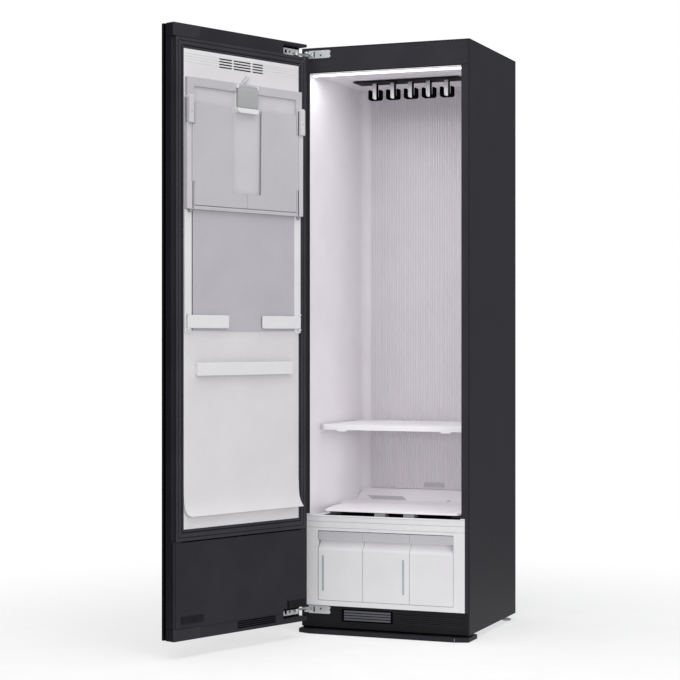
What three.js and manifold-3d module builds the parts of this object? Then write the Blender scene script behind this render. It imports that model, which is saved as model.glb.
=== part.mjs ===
// Clothes care steam cabinet, shown with its tall door open at the stop.
// Millimetres, +Z up. The origin lies on the floor, on the centreline, in the plane of the
// cabinet's front face. +X is to the right of a person facing the cabinet, +Y runs to its back.
import * as THREE from "three";
import { mergeVertices } from "three/addons/utils/BufferGeometryUtils.js";
import Module from "manifold-3d";

const wasm = await Module();
wasm.setup();

// Driving dimensions of the cabinet body
const halfWidth = 295;
const bodyDepth = 536;
const topZ = 1960;
const coverSheet = 3.7;
const panelBottomZ = 22;
const sheet = 2;
const gap = 0.3;

// Driving dimensions of the garment cavity
const openingHalf = 266;
const cavityBackHalf = 258;
const cavityDepth = 484;
const cornerRadius = 32;
const linerWall = 3;
const cavityBottomZ = 400.3;
const cavityTopZ = 1872;
const railBottomZ = 1877;
const fasciaHalf = 278;
const fasciaBottomZ = 93;

// Driving dimensions of the door, measured from its hinge-side edge and inner face
const doorWidth = 597.6;
const doorBottomZ = 55;
const doorTopZ = 1956;
const frameThickness = 34;
const doorThickness = 52;
const doorGap = 5;
const doorOpenAngle = 110.7;
const pivotX = -299.2;
const pivotY = -71.8;
const doorMiddle = doorWidth / 2 - 3.2;

// Driving dimensions of the concealed hinges
const hingeTopZ = 1937;
const hingeMirrorZ = 2016;
const bodyPivot = { x: -262, y: -11 };
const doorPivot = { a: 30, n: -20 };
const bodyLinkLength = 52;
const doorLinkLength = 57;
const bodyLinkOpenAngle = -80.4;
const doorLinkOpenAngle = 187.6;

// Driving dimensions of the hanger drive
const hangerStroke = 14;
const hookPitch = 65;
const hookCount = 5;
const barY = [205, 296];
const crankRadius = 20;
const crankPinY = 250;

// Driving dimensions of the three pull-out units
const bayX = [-236, 238.8];
const bayZ = [110.8, 342.3];
const bayBackY = 262;
const unitEdgesX = [-235.5, -77.2, 87.3, 238.3];
const unitZ = [111.3, 341.8];

const radians = (degrees) => (degrees * Math.PI) / 180;

// Materials
function finish(color, roughness, metalness) {
  return new THREE.MeshStandardMaterial({ color, roughness, metalness });
}
const blackPaint = () => finish(0x36363b, 0.45, 0.2);
const blackPlastic = () => finish(0x2c2c30, 0.6, 0);
const blackRubber = () => finish(0x232327, 0.8, 0);
const whitePlastic = () => finish(0xe2dfe3, 0.5, 0);
const greyPlastic = () => finish(0xbebcc0, 0.5, 0);
const nickel = () => finish(0xbec3c8, 0.3, 0.9);
const castIron = () => finish(0x303236, 0.6, 0.4);
const sheetSteel = () => finish(0xa8abae, 0.4, 0.8);

// Closed prisms from an outline: along Z from XY points, along Y from XZ points, along X from YZ points
function extrude(points, depth) {
  const shape = new THREE.Shape(points.map(([u, v]) => new THREE.Vector2(u, v)));
  return new THREE.ExtrudeGeometry(shape, { depth, bevelEnabled: false, steps: 1 });
}
function pierce(prism, low, high, body, holes) {
  return holes.length ? cut(body, ...holes.map((hole) => prism(hole, low - 1, high + 1))) : body;
}
function prismZ(points, z0, z1, holes = []) {
  return pierce(prismZ, z0, z1, extrude(points, z1 - z0).translate(0, 0, z0), holes);
}
function prismY(points, y0, y1, holes = []) {
  return pierce(prismY, y0, y1, extrude(points, y1 - y0).rotateX(Math.PI / 2).translate(0, y1, 0), holes);
}
function prismX(points, x0, x1, holes = []) {
  const turn = new THREE.Matrix4().set(0, 0, 1, 0, 1, 0, 0, 0, 0, 1, 0, 0, 0, 0, 0, 1);
  return pierce(prismX, x0, x1, extrude(points, x1 - x0).applyMatrix4(turn).translate(x0, 0, 0), holes);
}
function box(x0, x1, y0, y1, z0, z1) {
  const size = new THREE.BoxGeometry(x1 - x0, y1 - y0, z1 - z0);
  return size.translate((x0 + x1) / 2, (y0 + y1) / 2, (z0 + z1) / 2);
}
function cylinderZ(radius, x, y, z0, z1, sides = 20) {
  const round = new THREE.CylinderGeometry(radius, radius, z1 - z0, sides);
  return round.rotateX(Math.PI / 2).translate(x, y, (z0 + z1) / 2);
}
function cylinderX(radius, y, z, x0, x1, sides = 20) {
  const round = new THREE.CylinderGeometry(radius, radius, x1 - x0, sides);
  return round.rotateZ(Math.PI / 2).translate((x0 + x1) / 2, y, z);
}
function cylinderY(radius, x, z, y0, y1, sides = 20) {
  const round = new THREE.CylinderGeometry(radius, radius, y1 - y0, sides);
  return round.translate(x, (y0 + y1) / 2, z);
}

// Outlines
function rectangle(u0, u1, v0, v1) {
  return [[u0, v0], [u1, v0], [u1, v1], [u0, v1]];
}
function arcPoints(u, v, radius, from, to, steps) {
  const points = [];
  for (let i = 0; i <= steps; i += 1) {
    const angle = radians(from + ((to - from) * i) / steps);
    points.push([u + radius * Math.cos(angle), v + radius * Math.sin(angle)]);
  }
  return points;
}
function roundedRectangle(u0, u1, v0, v1, radius, steps = 4) {
  return [
    ...arcPoints(u1 - radius, v0 + radius, radius, -90, 0, steps),
    ...arcPoints(u1 - radius, v1 - radius, radius, 0, 90, steps),
    ...arcPoints(u0 + radius, v1 - radius, radius, 90, 180, steps),
    ...arcPoints(u0 + radius, v0 + radius, radius, 180, 270, steps),
  ];
}
const mirrored = (points) => points.map(([u, v]) => [-u, v]).reverse();

// Boolean work
function solid(geometry) {
  const bare = geometry.clone();
  bare.deleteAttribute("normal");
  bare.deleteAttribute("uv");
  const merged = mergeVertices(bare, 1e-4);
  return new wasm.Manifold(new wasm.Mesh({
    numProp: 3,
    vertProperties: new Float32Array(merged.attributes.position.array),
    triVerts: new Uint32Array(merged.index.array),
  }));
}
function geometryOf(body) {
  const mesh = body.getMesh();
  const geometry = new THREE.BufferGeometry();
  geometry.setAttribute("position", new THREE.BufferAttribute(mesh.vertProperties, 3));
  geometry.setIndex(new THREE.BufferAttribute(mesh.triVerts, 1));
  return geometry;
}
function join(...geometries) {
  return geometryOf(geometries.map(solid).reduce((whole, piece) => whole.add(piece)));
}
function cut(geometry, ...tools) {
  return geometryOf(tools.map(solid).reduce((whole, tool) => whole.subtract(tool), solid(geometry)));
}
function common(first, second) {
  return geometryOf(solid(first).intersect(solid(second)));
}

const cabinet = new THREE.Group();
function place(group, name, geometry, material) {
  const mesh = new THREE.Mesh(geometry, material);
  mesh.name = name;
  group.add(mesh);
  return mesh;
}

// Outer casing
function sidePanelOutline() {
  const front = halfWidth - 5;
  const rear = halfWidth - 12;
  return [
    [front, 0], [halfWidth, 0], [halfWidth, bodyDepth], [rear, bodyDepth],
    [rear, bodyDepth - sheet], [halfWidth - sheet, bodyDepth - sheet],
    [halfWidth - sheet, sheet], [front, sheet],
  ];
}
function buildCasing() {
  const panelTopZ = topZ - coverSheet - gap;
  const right = sidePanelOutline();
  place(cabinet, "side_panel_right", prismZ(right, panelBottomZ, panelTopZ), blackPaint());
  place(cabinet, "side_panel_left", prismZ(mirrored(right), panelBottomZ, panelTopZ), blackPaint());
  const coverBackY = bodyDepth + gap + sheet;
  const coverOutline = rectangle(-halfWidth, halfWidth, 0, coverBackY);
  place(cabinet, "top_cover", prismZ(coverOutline, topZ - coverSheet, topZ), blackPaint());
  const louvres = [];
  for (let row = 0; row < 9; row += 1) {
    louvres.push(rectangle(110, 240, 70 + row * 14, 76 + row * 14));
  }
  const glandHole = arcPoints(-230, 70, 9.5, 0, 337.5, 15);
  place(
    cabinet, "back_panel",
    prismY(
      rectangle(-halfWidth + 1, halfWidth - 1, panelBottomZ, panelTopZ),
      bodyDepth + gap, coverBackY, [...louvres, glandHole],
    ),
    sheetSteel(),
  );
  const gland = join(
    cylinderY(9, -230, 70, bodyDepth - 12, coverBackY + 1, 16),
    cylinderY(14, -230, 70, coverBackY + gap, coverBackY + 5, 16),
  );
  place(cabinet, "cord_gland", gland, blackRubber());
  const panWall = 16;
  const panFrontY = 6;
  const panBackY = bodyDepth - sheet - 1;
  const panOutline = [
    [panFrontY, panelBottomZ], [panBackY, panelBottomZ], [panBackY, panelBottomZ + panWall],
    [panBackY - sheet, panelBottomZ + panWall], [panBackY - sheet, panelBottomZ + sheet],
    [panFrontY + sheet, panelBottomZ + sheet], [panFrontY + sheet, panelBottomZ + panWall],
    [panFrontY, panelBottomZ + panWall],
  ];
  const panHalf = halfWidth - sheet - gap;
  place(cabinet, "base_pan", prismX(panOutline, -panHalf, panHalf), sheetSteel());
}

// Base bar across the front, and the two rear feet
const barHeight = 17;
function buildBase() {
  const barHalf = 298;
  const outline = [
    [-barHalf, -8], [-254, -24], [254, -24], [barHalf, -8], [barHalf, 86], [-barHalf, 86],
  ];
  const bar = join(
    prismZ(outline, 0, barHeight),
    box(-280, 280, 12, 78, barHeight - 1, panelBottomZ - gap),
  );
  place(cabinet, "base_bar", bar, blackPlastic());
  for (const [name, x] of [["rear_foot_left", -272], ["rear_foot_right", 272]]) {
    const profile = [[0, 0], [16, 0], [16, 5], [7, 8], [7, panelBottomZ - gap], [0, panelBottomZ - gap]];
    const foot = new THREE.LatheGeometry(profile.map(([r, z]) => new THREE.Vector2(r, z)), 20);
    const mesh = place(cabinet, name, foot.rotateX(Math.PI / 2), greyPlastic());
    mesh.position.set(x, 500, 0);
  }
}

// Black front frame: toe kick with its air grille, top rail and two stiles
function buildFrontFrame() {
  const inside = halfWidth - 5 - gap;
  const grille = [];
  for (let row = 0; row < 5; row += 1) {
    grille.push(rectangle(-145, 24, 46 + row * 7.4, 50.2 + row * 7.4));
  }
  place(
    cabinet, "toe_kick",
    prismY(rectangle(-inside, inside, barHeight + gap, fasciaBottomZ - gap), 0, 3, grille),
    blackPlastic(),
  );
  const railTopZ = topZ - coverSheet - gap;
  const depth = 20;
  const channel = [
    [0, railBottomZ], [depth, railBottomZ], [depth, railBottomZ + sheet], [sheet, railBottomZ + sheet],
    [sheet, railTopZ - sheet], [depth, railTopZ - sheet], [depth, railTopZ], [0, railTopZ],
  ];
  place(cabinet, "top_rail", prismX(channel, -inside, inside), blackPaint());
  const stile = [
    [openingHalf + gap, cavityBottomZ + gap], [fasciaHalf + gap, cavityBottomZ + gap],
    [fasciaHalf + gap, fasciaBottomZ], [inside, fasciaBottomZ],
    [inside, railBottomZ - gap], [openingHalf + gap, railBottomZ - gap],
  ];
  place(cabinet, "stile_right", prismY(stile, 0, 3), blackPaint());
  place(cabinet, "stile_left", prismY(mirrored(stile), 0, 3), blackPaint());
}

// White cavity: side walls with draft and round rear corners, fluted back, ceiling and floor
const linerFrontY = 3 + gap;
function cavityHalfOutline(inset) {
  const half = cavityBackHalf - inset;
  const back = cavityDepth - inset;
  const radius = cornerRadius;
  return [
    [openingHalf - inset, linerFrontY],
    ...arcPoints(half - radius, back - radius, radius, 0, 90, 6),
  ];
}
function cavityOutline(inset) {
  const right = cavityHalfOutline(inset);
  return [...right, ...mirrored(right)];
}
function buildLiner() {
  const flangeX = halfWidth - sheet - 2;
  const outerHalf = cavityHalfOutline(-linerWall);
  const outerRight = [[flangeX, linerFrontY], [flangeX, linerFrontY + linerWall], ...outerHalf.slice(1)];
  outerRight.splice(2, 0, [openingHalf + linerWall, linerFrontY + linerWall]);
  const outer = [...outerRight, ...mirrored(outerRight)];
  const inner = [...cavityOutline(0)].reverse();
  const shell = prismZ([...outer, ...inner], cavityBottomZ, cavityTopZ);
  const ledgeZ = [668, 676.7];
  const ledgeX = 250;
  const ledges = [1, -1].map((side) => {
    const edge = [[ledgeX, 92], [openingHalf + 1, 92], [cavityBackHalf + 1, 430], [ledgeX, 430]];
    return prismZ(side > 0 ? edge : mirrored(edge), ledgeZ[0], ledgeZ[1]);
  });
  place(cabinet, "cavity_liner", join(shell, ...ledges), whitePlastic());
}
function buildFlutedWall() {
  const flutePitch = 9;
  const fluteCount = 50;
  const ridgeY = 478;
  const valleyY = 479.6;
  const backY = cavityDepth - gap;
  const half = (flutePitch * fluteCount) / 2;
  const points = [[-half, backY], [half, backY]];
  for (let i = fluteCount; i >= 0; i -= 1) {
    const x = -half + i * flutePitch;
    points.push([x, ridgeY]);
    if (i > 0) {
      points.push([x - flutePitch / 2, valleyY]);
    }
  }
  place(cabinet, "fluted_back_wall", prismZ(points.reverse(), 452, 1858), whitePlastic());
}
const ceilingZ = [cavityTopZ + gap, cavityTopZ + gap + 3];
function buildCeiling() {
  const neckHalf = 30 + hangerStroke + 4;
  const hole = rectangle(-neckHalf, neckHalf, 234, 266);
  const outline = rectangle(-270, 270, linerFrontY, cavityDepth + linerWall);
  place(cabinet, "cavity_ceiling", prismZ(outline, ceilingZ[0], ceilingZ[1], [hole]), whitePlastic());
  const lens = [[9, cavityTopZ], [10, 1867], [30, 1865], [46, 1869], [48, cavityTopZ]];
  place(cabinet, "light_bar", prismX(lens, -240, 240), finish(0xffffff, 0.3, 0));
}
function buildFloor() {
  const profile = [
    [14.6, 384], [288, 384], [288, 406], [412, 406], [482, 441], [482, 451.5],
    [410, 413], [279.5, 413], [279.5, 390], [14.6, 390],
  ];
  const inside = prismZ(cavityOutline(0.5), 370, 460);
  const lowered = common(prismX(profile, -270, 270), inside);
  place(cabinet, "cavity_floor", lowered, whitePlastic());
}

// White front below the cavity, and the bay behind it that holds the three pull-out units
function buildFascia() {
  const bayHole = rectangle(...bayX, ...bayZ);
  const front = prismY(
    rectangle(-fasciaHalf, fasciaHalf, fasciaBottomZ, cavityBottomZ - gap), 0, 12, [bayHole],
  );
  const seamHalf = fasciaHalf + 1;
  const seam = box(-seamHalf, seamHalf, -1, 1.2, 353.2, 354.6);
  const lipGroove = box(-240, 224, -1, 1, 373, 374.2);
  const lowRim = box(-262, 262, -1, 13, 396, cavityBottomZ);
  place(cabinet, "lower_fascia", cut(front, seam, lipGroove, lowRim), whitePlastic());
  const wall = 3;
  const outer = box(bayX[0] - wall, bayX[1] + wall, 12 + gap, bayBackY, bayZ[0] - wall, bayZ[1] + wall);
  const hollow = box(...bayX, 0, bayBackY - wall, ...bayZ);
  place(cabinet, "tank_bay", cut(outer, hollow), greyPlastic());
}

// Front of a pull-out unit: slanted strip, scooped finger grip, rounded ridge and flat face
function unitFrontProfile(backY) {
  const [low, high] = unitZ;
  return [
    [backY, low], [backY, high], [1.5, high], [0, high - 27], [5, high - 28.5],
    [13, high - 33], [17.5, high - 41], [15, high - 49], [8, high - 53.5], [2, high - 55], [0, high - 58],
    [0, low],
  ];
}
function unitX(index) {
  const slack = 0.5;
  return [unitEdgesX[index] + (index > 0 ? slack : 0), unitEdgesX[index + 1] - (index < 2 ? slack : 0)];
}
function buildUnits() {
  const wall = 2.5;
  const frontBack = 22;
  const backY = 246;
  const bodyTop = 326;
  const names = ["water_tank", "drain_tank", "side_drawer"];
  names.forEach((name, index) => {
    const [x0, x1] = unitX(index);
    const front = prismX(unitFrontProfile(frontBack), x0, x1);
    const shell = box(x0 + 1, x1 - 1, frontBack - 1, backY, unitZ[0], bodyTop);
    const roof = index < 2 ? bodyTop - wall : bodyTop + 1;
    const hollow = box(x0 + 1 + wall, x1 - 1 - wall, frontBack, backY - wall, unitZ[0] + wall, roof);
    const middleX = (x0 + x1) / 2;
    const filler = cylinderZ(32, middleX, 140, bodyTop - 5, bodyTop + 5, 24);
    const body = index < 2 ? cut(join(front, shell), hollow, filler) : cut(join(front, shell), hollow);
    place(cabinet, name, body, whitePlastic());
  });
}

// Hanger drive above the ceiling, and the moving bar with its double hooks below it
const trackZ = [ceilingZ[1] + gap, 1890];
function buildHangerDrive() {
  const channel = [
    [204, trackZ[0]], [217, trackZ[0]], [217, 1878.9], [210, 1878.9], [210, 1887.1],
    [217, 1887.1], [217, trackZ[1]], [204, trackZ[1]],
  ];
  const rear = channel.map(([y, z]) => [500 - y, z]).reverse();
  const legX = 92;
  const bridgeZ = 1946;
  const bridge = [
    [-legX - 4, trackZ[0]], [-legX, trackZ[0]], [-legX, bridgeZ], [legX, bridgeZ], [legX, trackZ[0]],
    [legX + 4, trackZ[0]], [legX + 4, bridgeZ + 3], [-legX - 4, bridgeZ + 3],
  ];
  const track = join(
    prismX(channel, -legX - 4, legX + 4), prismX(rear, -legX - 4, legX + 4), prismY(bridge, 214, 286),
  );
  place(cabinet, "hanger_track", track, sheetSteel());
  const crankY = crankPinY - crankRadius;
  const motorCase = cylinderZ(26, 0, crankY, 1898, bridgeZ - gap, 24);
  const motor = join(motorCase, cylinderZ(6, 0, crankY, 1895.3, 1899, 12));
  place(cabinet, "hanger_motor", motor, nickel());
  const crank = join(cylinderZ(26, 0, crankY, 1891, 1895, 24), cylinderZ(4, 0, crankPinY, 1881, 1892, 12));
  place(cabinet, "hanger_crank", crank, greyPlastic());
}
function hookOutline(x) {
  const topZ = 1867;
  const lowZ = 1809;
  const stem = 6.5;
  const reach = 23.5;
  const earTop = 1845;
  const pocketZ = 1818;
  const pocket = 14.8;
  return [
    [x - stem, topZ], [x - stem, pocketZ + 3], [x - stem - 3, pocketZ], [x - pocket + 2, pocketZ],
    [x - pocket, pocketZ + 3], [x - pocket, earTop - 2], [x - pocket - 3, earTop],
    [x - reach + 2, earTop - 3], [x - reach, earTop - 8], [x - reach, lowZ + 9],
    [x - reach + 5, lowZ + 2], [x - stem - 4, lowZ], [x + stem + 4, lowZ], [x + reach - 5, lowZ + 2],
    [x + reach, lowZ + 9], [x + reach, earTop - 8], [x + reach - 2, earTop - 3],
    [x + pocket + 3, earTop], [x + pocket, earTop - 2], [x + pocket, pocketZ + 3],
    [x + pocket - 2, pocketZ], [x + stem + 3, pocketZ], [x + stem, pocketZ + 3], [x + stem, topZ],
  ];
}
function buildHangerBar() {
  const barZ = [1866.5, 1869.6];
  const parts = [
    box(-192, 192, barY[0], barY[1], barZ[0], barZ[1]),
    box(-30, 30, 238, 262, barZ[1] - 1, 1881),
    box(-70, 70, 211, 289, 1879.5, 1886.5),
  ];
  for (let i = 0; i < hookCount; i += 1) {
    const x = (i - (hookCount - 1) / 2) * hookPitch;
    parts.push(prismY(hookOutline(x), 247, 267));
  }
  const yokeSlot = box(-5.2, 5.2, 235, 259, 1880.2, 1888);
  place(cabinet, "hanger_bar", cut(join(...parts), yokeSlot), blackPlastic());
}

// Shelf, and the raised floor plate with the lint filter below it
function buildShelf() {
  const z0 = 677;
  const z1 = 695;
  const outline = roundedRectangle(-253, 253, 68, 452, 16);
  const pocket = prismZ(roundedRectangle(-247, 247, 74, 446, 10), z0 - 1, z1 - 4);
  const tabs = [-178, 190].map((x) => box(x - 18, x + 18, 69, 76, z0 - 5, z0 + 4));
  place(cabinet, "shelf", join(cut(prismZ(outline, z0, z1), pocket), ...tabs), whitePlastic());
}
function buildFloorPlate() {
  const plateZ = [407, 413];
  const half = 250;
  const frontY = 16;
  const backY = 279;
  const radius = 12;
  const outline = [
    ...arcPoints(half - radius, frontY + radius, radius, -90, 0, 4), [half, backY], [-half, backY],
    [-half, 170], [-223, 34], [-222, 26], [-217, 19], [-208, frontY],
  ];
  const posts = [-217, -53, 53, 217].map((x) => box(x - 19, x + 19, 105, 135, 390 + gap, plateZ[0] + 1));
  place(cabinet, "floor_plate", join(prismZ(outline, plateZ[0], plateZ[1]), ...posts), whitePlastic());
  const meshHole = rectangle(-150, 150, 158, 254);
  const frame = prismZ(rectangle(-160, 160, 148, 264), 394, plateZ[0] - gap, [meshHole]);
  const mesh = box(-151, 151, 157, 255, 396, 398);
  place(cabinet, "lint_filter", join(frame, mesh), greyPlastic());
}

// Steam and drying machinery in the space behind and under the bay
const fanX = -150;
const fanY = 438;
const fanZ = 190;
function buildMachinery() {
  const floorZ = panelBottomZ + sheet + gap;
  const canProfile = [
    [0, 0], [70, 0], [70, 5], [60, 8], [60, 150], [54, 172], [38, 184], [0, 188],
  ];
  const can = new THREE.LatheGeometry(canProfile.map(([r, z]) => new THREE.Vector2(r, z)), 24);
  const compressor = place(cabinet, "compressor", can.rotateX(Math.PI / 2), castIron());
  compressor.position.set(180, 400, floorZ);
  const fins = [];
  for (let i = 0; i < 12; i += 1) {
    fins.push(box(-252 + i * 17, -249 + i * 17, 282, 348, 60, 300));
  }
  const block = join(box(-254, -60, 290, 340, floorZ, 304), ...fins);
  place(cabinet, "heat_exchanger", block, finish(0xb8bcc0, 0.4, 0.8));
  const cupProfile = [[0, 0], [88, 0], [88, 66], [84, 66], [84, 4], [0, 4]];
  const cup = new THREE.LatheGeometry(cupProfile.map(([r, y]) => new THREE.Vector2(r, y)), 28);
  cup.rotateX(Math.PI).translate(fanX, fanY + 32, fanZ);
  const pedestal = box(fanX - 50, fanX + 50, fanY + 20, fanY + 32, floorZ, fanZ - 78);
  place(cabinet, "blower_housing", join(cup, pedestal), blackPlastic());
  place(cabinet, "blower_fan", fanGeometry(), greyPlastic());
  const boiler = join(box(0, 96, 286, 366, floorZ, 150), cylinderZ(9, 48, 326, 149, 172, 16));
  place(cabinet, "steam_generator", boiler, sheetSteel());
  const pump = join(box(0, 56, 400, 450, floorZ, 70), cylinderX(20, 425, 52, 55, 96, 20));
  place(cabinet, "water_pump", pump, blackPlastic());
  place(cabinet, "control_box", box(130, 262, 320, 470, ceilingZ[1] + gap, 1912), greyPlastic());
}
function fanGeometry() {
  const outline = [];
  const blades = 12;
  const step = 360 / blades;
  for (let i = 0; i < blades; i += 1) {
    const start = i * step;
    outline.push(...arcPoints(0, 0, 30, start, start + step * 0.55, 2));
    outline.push(...arcPoints(0, 0, 78, start + step * 0.62, start + step * 0.9, 1));
  }
  const blades3d = prismY(outline, fanY - 26, fanY + 20);
  const disc = cylinderY(78, 0, 0, fanY + 19, fanY + 23, 24);
  return join(blades3d, disc).translate(fanX, 0, fanZ);
}

// Concealed hinges: a plate on the cabinet, two links that fold, and an arm inside the door recess
function atHingeHeight(geometry, bottom) {
  if (!bottom) {
    return geometry;
  }
  const flipped = geometry.clone().scale(1, 1, -1).translate(0, 0, hingeMirrorZ);
  const index = flipped.index ? flipped.index.array : null;
  const body = index ? flipped : mergeVertices(flipped, 1e-4);
  const order = body.index.array;
  for (let i = 0; i < order.length; i += 3) {
    const first = order[i];
    order[i] = order[i + 2];
    order[i + 2] = first;
  }
  return body;
}
const linkHalf = 6;
const pinRadius = 2.6;
function pivotEars(x, y, rootY, z0, z1) {
  const ear = 1.6;
  const y0 = Math.min(rootY, y - 6.5);
  const y1 = Math.max(rootY, y + 6.5);
  return [
    box(x - 7, x + 7, y0, y1, z0 - gap - ear, z0 - gap),
    box(x - 7, x + 7, y0, y1, z1 + gap, z1 + gap + ear),
    cylinderZ(pinRadius, x, y, z0 - gap - ear, z1 + gap + ear, 12),
  ];
}
const bodyLinkZ = [1931.9, 1937.5];
const doorLinkZ = [1922, 1927.6];
function hingePlate() {
  const outline = [
    [-269, hingeTopZ - 13], [-196, hingeTopZ - 13], [-190, hingeTopZ - 9], [-194, hingeTopZ],
    [-190, hingeTopZ + 9], [-196, hingeTopZ + 13], [-269, hingeTopZ + 13],
  ];
  const screwHole = arcPoints(-226, hingeTopZ - 3, 3.4, 0, 330, 11);
  const slot = rectangle(-252, -247, hingeTopZ - 9, hingeTopZ + 9);
  const plate = prismY(outline, -3, -gap, [screwHole, slot]);
  return join(plate, ...pivotEars(bodyPivot.x, bodyPivot.y, -2, bodyLinkZ[0], bodyLinkZ[1]));
}
function hingeArm() {
  const arm = [
    [8, 1919], [64, 1919], [84, 1923], [78, 1941], [8, 1941],
  ];
  const holes = [
    [[62, 1924], [76, 1925.5], [70, 1937], [64, 1937]],
    arcPoints(50, 1930, 4.2, 0, 330, 11),
  ];
  const plate = prismY(arm, -frameThickness + 0.6, -frameThickness + 3.4, holes);
  const ears = pivotEars(doorPivot.a, doorPivot.n, -frameThickness + 2, doorLinkZ[0], doorLinkZ[1]);
  return join(plate, ...ears);
}
function linkGeometry(length, z0, z1) {
  const outline = [
    ...arcPoints(length, 0, linkHalf, -90, 90, 6),
    ...arcPoints(0, 0, linkHalf, 90, 270, 6),
  ];
  const pinHole = arcPoints(0, 0, pinRadius + gap, 0, 330, 11);
  const rivetHole = arcPoints(length, 0, pinRadius, 0, 330, 11);
  return prismZ(outline, z0, z1, [pinHole, rivetHole]);
}

// Door group: geometry inside it is drawn with X from the hinge-side edge, Y into the cabinet
const swing = new THREE.Group();
swing.position.set(pivotX, pivotY, 0);
swing.rotation.z = radians(-doorOpenAngle);
const door = new THREE.Group();
door.position.set(-doorWidth / 2 - pivotX, -doorGap - pivotY, 0);
swing.add(door);

function buildHinges() {
  for (const [suffix, bottom] of [["top", false], ["bottom", true]]) {
    place(cabinet, `hinge_plate_${suffix}`, atHingeHeight(hingePlate(), bottom), nickel());
    place(door, `hinge_arm_${suffix}`, atHingeHeight(hingeArm(), bottom), nickel());
    const bodyLink = atHingeHeight(linkGeometry(bodyLinkLength, ...bodyLinkZ), bottom);
    const bodyMesh = place(cabinet, `hinge_link_body_${suffix}`, bodyLink, nickel());
    bodyMesh.position.set(bodyPivot.x, bodyPivot.y, 0);
    bodyMesh.rotation.z = radians(bodyLinkOpenAngle);
    const doorLink = atHingeHeight(linkGeometry(doorLinkLength, ...doorLinkZ), bottom);
    const doorMesh = place(door, `hinge_link_door_${suffix}`, doorLink, nickel());
    doorMesh.position.set(doorPivot.a, doorPivot.n, 0);
    doorMesh.rotation.z = radians(doorLinkOpenAngle);
  }
}

// Door shell: outer panel, core, inner frame, seal, white liner and lower cover
const recessEnd = 111;
const recessTopZ = [1913, 1947];
const sealOuterA = 589;
const coverTopZ = 361;
function frameHollowOutline() {
  const wall = 11;
  const side = recessEnd + 4;
  const low = recessTopZ[0] - 6;
  return [
    [wall, hingeMirrorZ - low], [side, hingeMirrorZ - low], [side, doorBottomZ + wall],
    [doorWidth - wall, doorBottomZ + wall], [doorWidth - wall, doorTopZ - wall],
    [side, doorTopZ - wall], [side, low], [wall, low],
  ];
}
function ventSlots() {
  const slots = [];
  for (let row = 0; row < 4; row += 1) {
    const z = 65.7 + row * 6.4;
    slots.push(box(146, 321, -4, 1, z, z + 3));
  }
  return slots;
}
function buildDoorShell() {
  const panel = cut(
    box(0, doorWidth, -doorThickness, -43.5, doorBottomZ, doorTopZ),
    box(3, doorWidth - 3, -doorThickness + 2, -40, doorBottomZ + 3, doorTopZ - 3),
  );
  place(door, "door_front_panel", panel, blackPaint());
  const coreFace = -frameThickness - gap;
  const coreBack = -doorThickness + 2 + gap;
  const core = cut(
    box(12, doorWidth - 12, coreBack, coreFace, doorBottomZ + 12, doorTopZ - 12),
    box(16, doorWidth - 16, coreBack - 1, coreFace - 2, doorBottomZ + 16, doorTopZ - 16),
  );
  place(door, "door_core", core, blackPlastic());
  const pan = cut(
    box(0, doorWidth, -frameThickness, 0, doorBottomZ, doorTopZ),
    prismY(frameHollowOutline(), -frameThickness - 1, -3),
    box(-1, recessEnd, -frameThickness - 1, 1, ...recessTopZ),
    box(-1, recessEnd, -frameThickness - 1, 1, hingeMirrorZ - recessTopZ[1], hingeMirrorZ - recessTopZ[0]),
    box(sealOuterA, doorWidth + 1, -8, 1, coverTopZ, recessTopZ[0]),
    ...ventSlots(),
  );
  place(door, "door_frame", pan, blackPlastic());
  const sealOutline = rectangle(9.4, sealOuterA - gap, coverTopZ + gap, recessTopZ[0] - 0.5);
  const lip = prismY(rectangle(20, 577, 380, 1897), gap, 3, [rectangle(42, 555.6, 397, 1880)]);
  const bead = prismY(sealOutline, gap, 4.4, [rectangle(28, 569.6, 388, 1889)]);
  place(door, "door_seal", join(lip, bead), blackRubber());
  const notch = 112;
  const coverTop = coverTopZ - 3.6;
  const cover = [
    [notch, 93.5], [doorWidth, 93.5], [doorWidth, coverTop], [9.4, coverTop], [9.4, 104],
    [notch, 104],
  ];
  const tabs = [[501, 562], [31, 88]].map(([a0, a1]) => box(a0, a1, 1, 4.2, 106, 129));
  place(door, "door_lower_cover", join(prismY(cover, gap, 2.3), ...tabs), blackPlastic());
}
function buildDoorLiner() {
  const face = 3;
  const rows = [1863.3, 1854.8, 1846.2, 1837.6];
  const profile = [
    [gap, 397.3], [face, 397.3], [face, 484], [8, 468], [14, 453], [20.3, 437], [22.8, 437],
    [16.5, 454], [10.5, 470], [6, 490], [face, 520],
  ];
  for (const z of [...rows].reverse()) {
    profile.push([face, z - 1], [face - 0.9, z], [face, z + 1]);
  }
  profile.push([face, 1879.7], [gap, 1879.7]);
  const sections = [[208.1, 256.2], [263.9, 340.3], [347.3, 403.8]];
  const slots = rows.flatMap((z) => sections.map(([a0, a1]) => box(a0, a1, -2, 6, z - 2.2, z + 2.2)));
  place(door, "door_liner", cut(prismX(profile, 42.3, 555.3), ...slots), whitePlastic());
}

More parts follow.
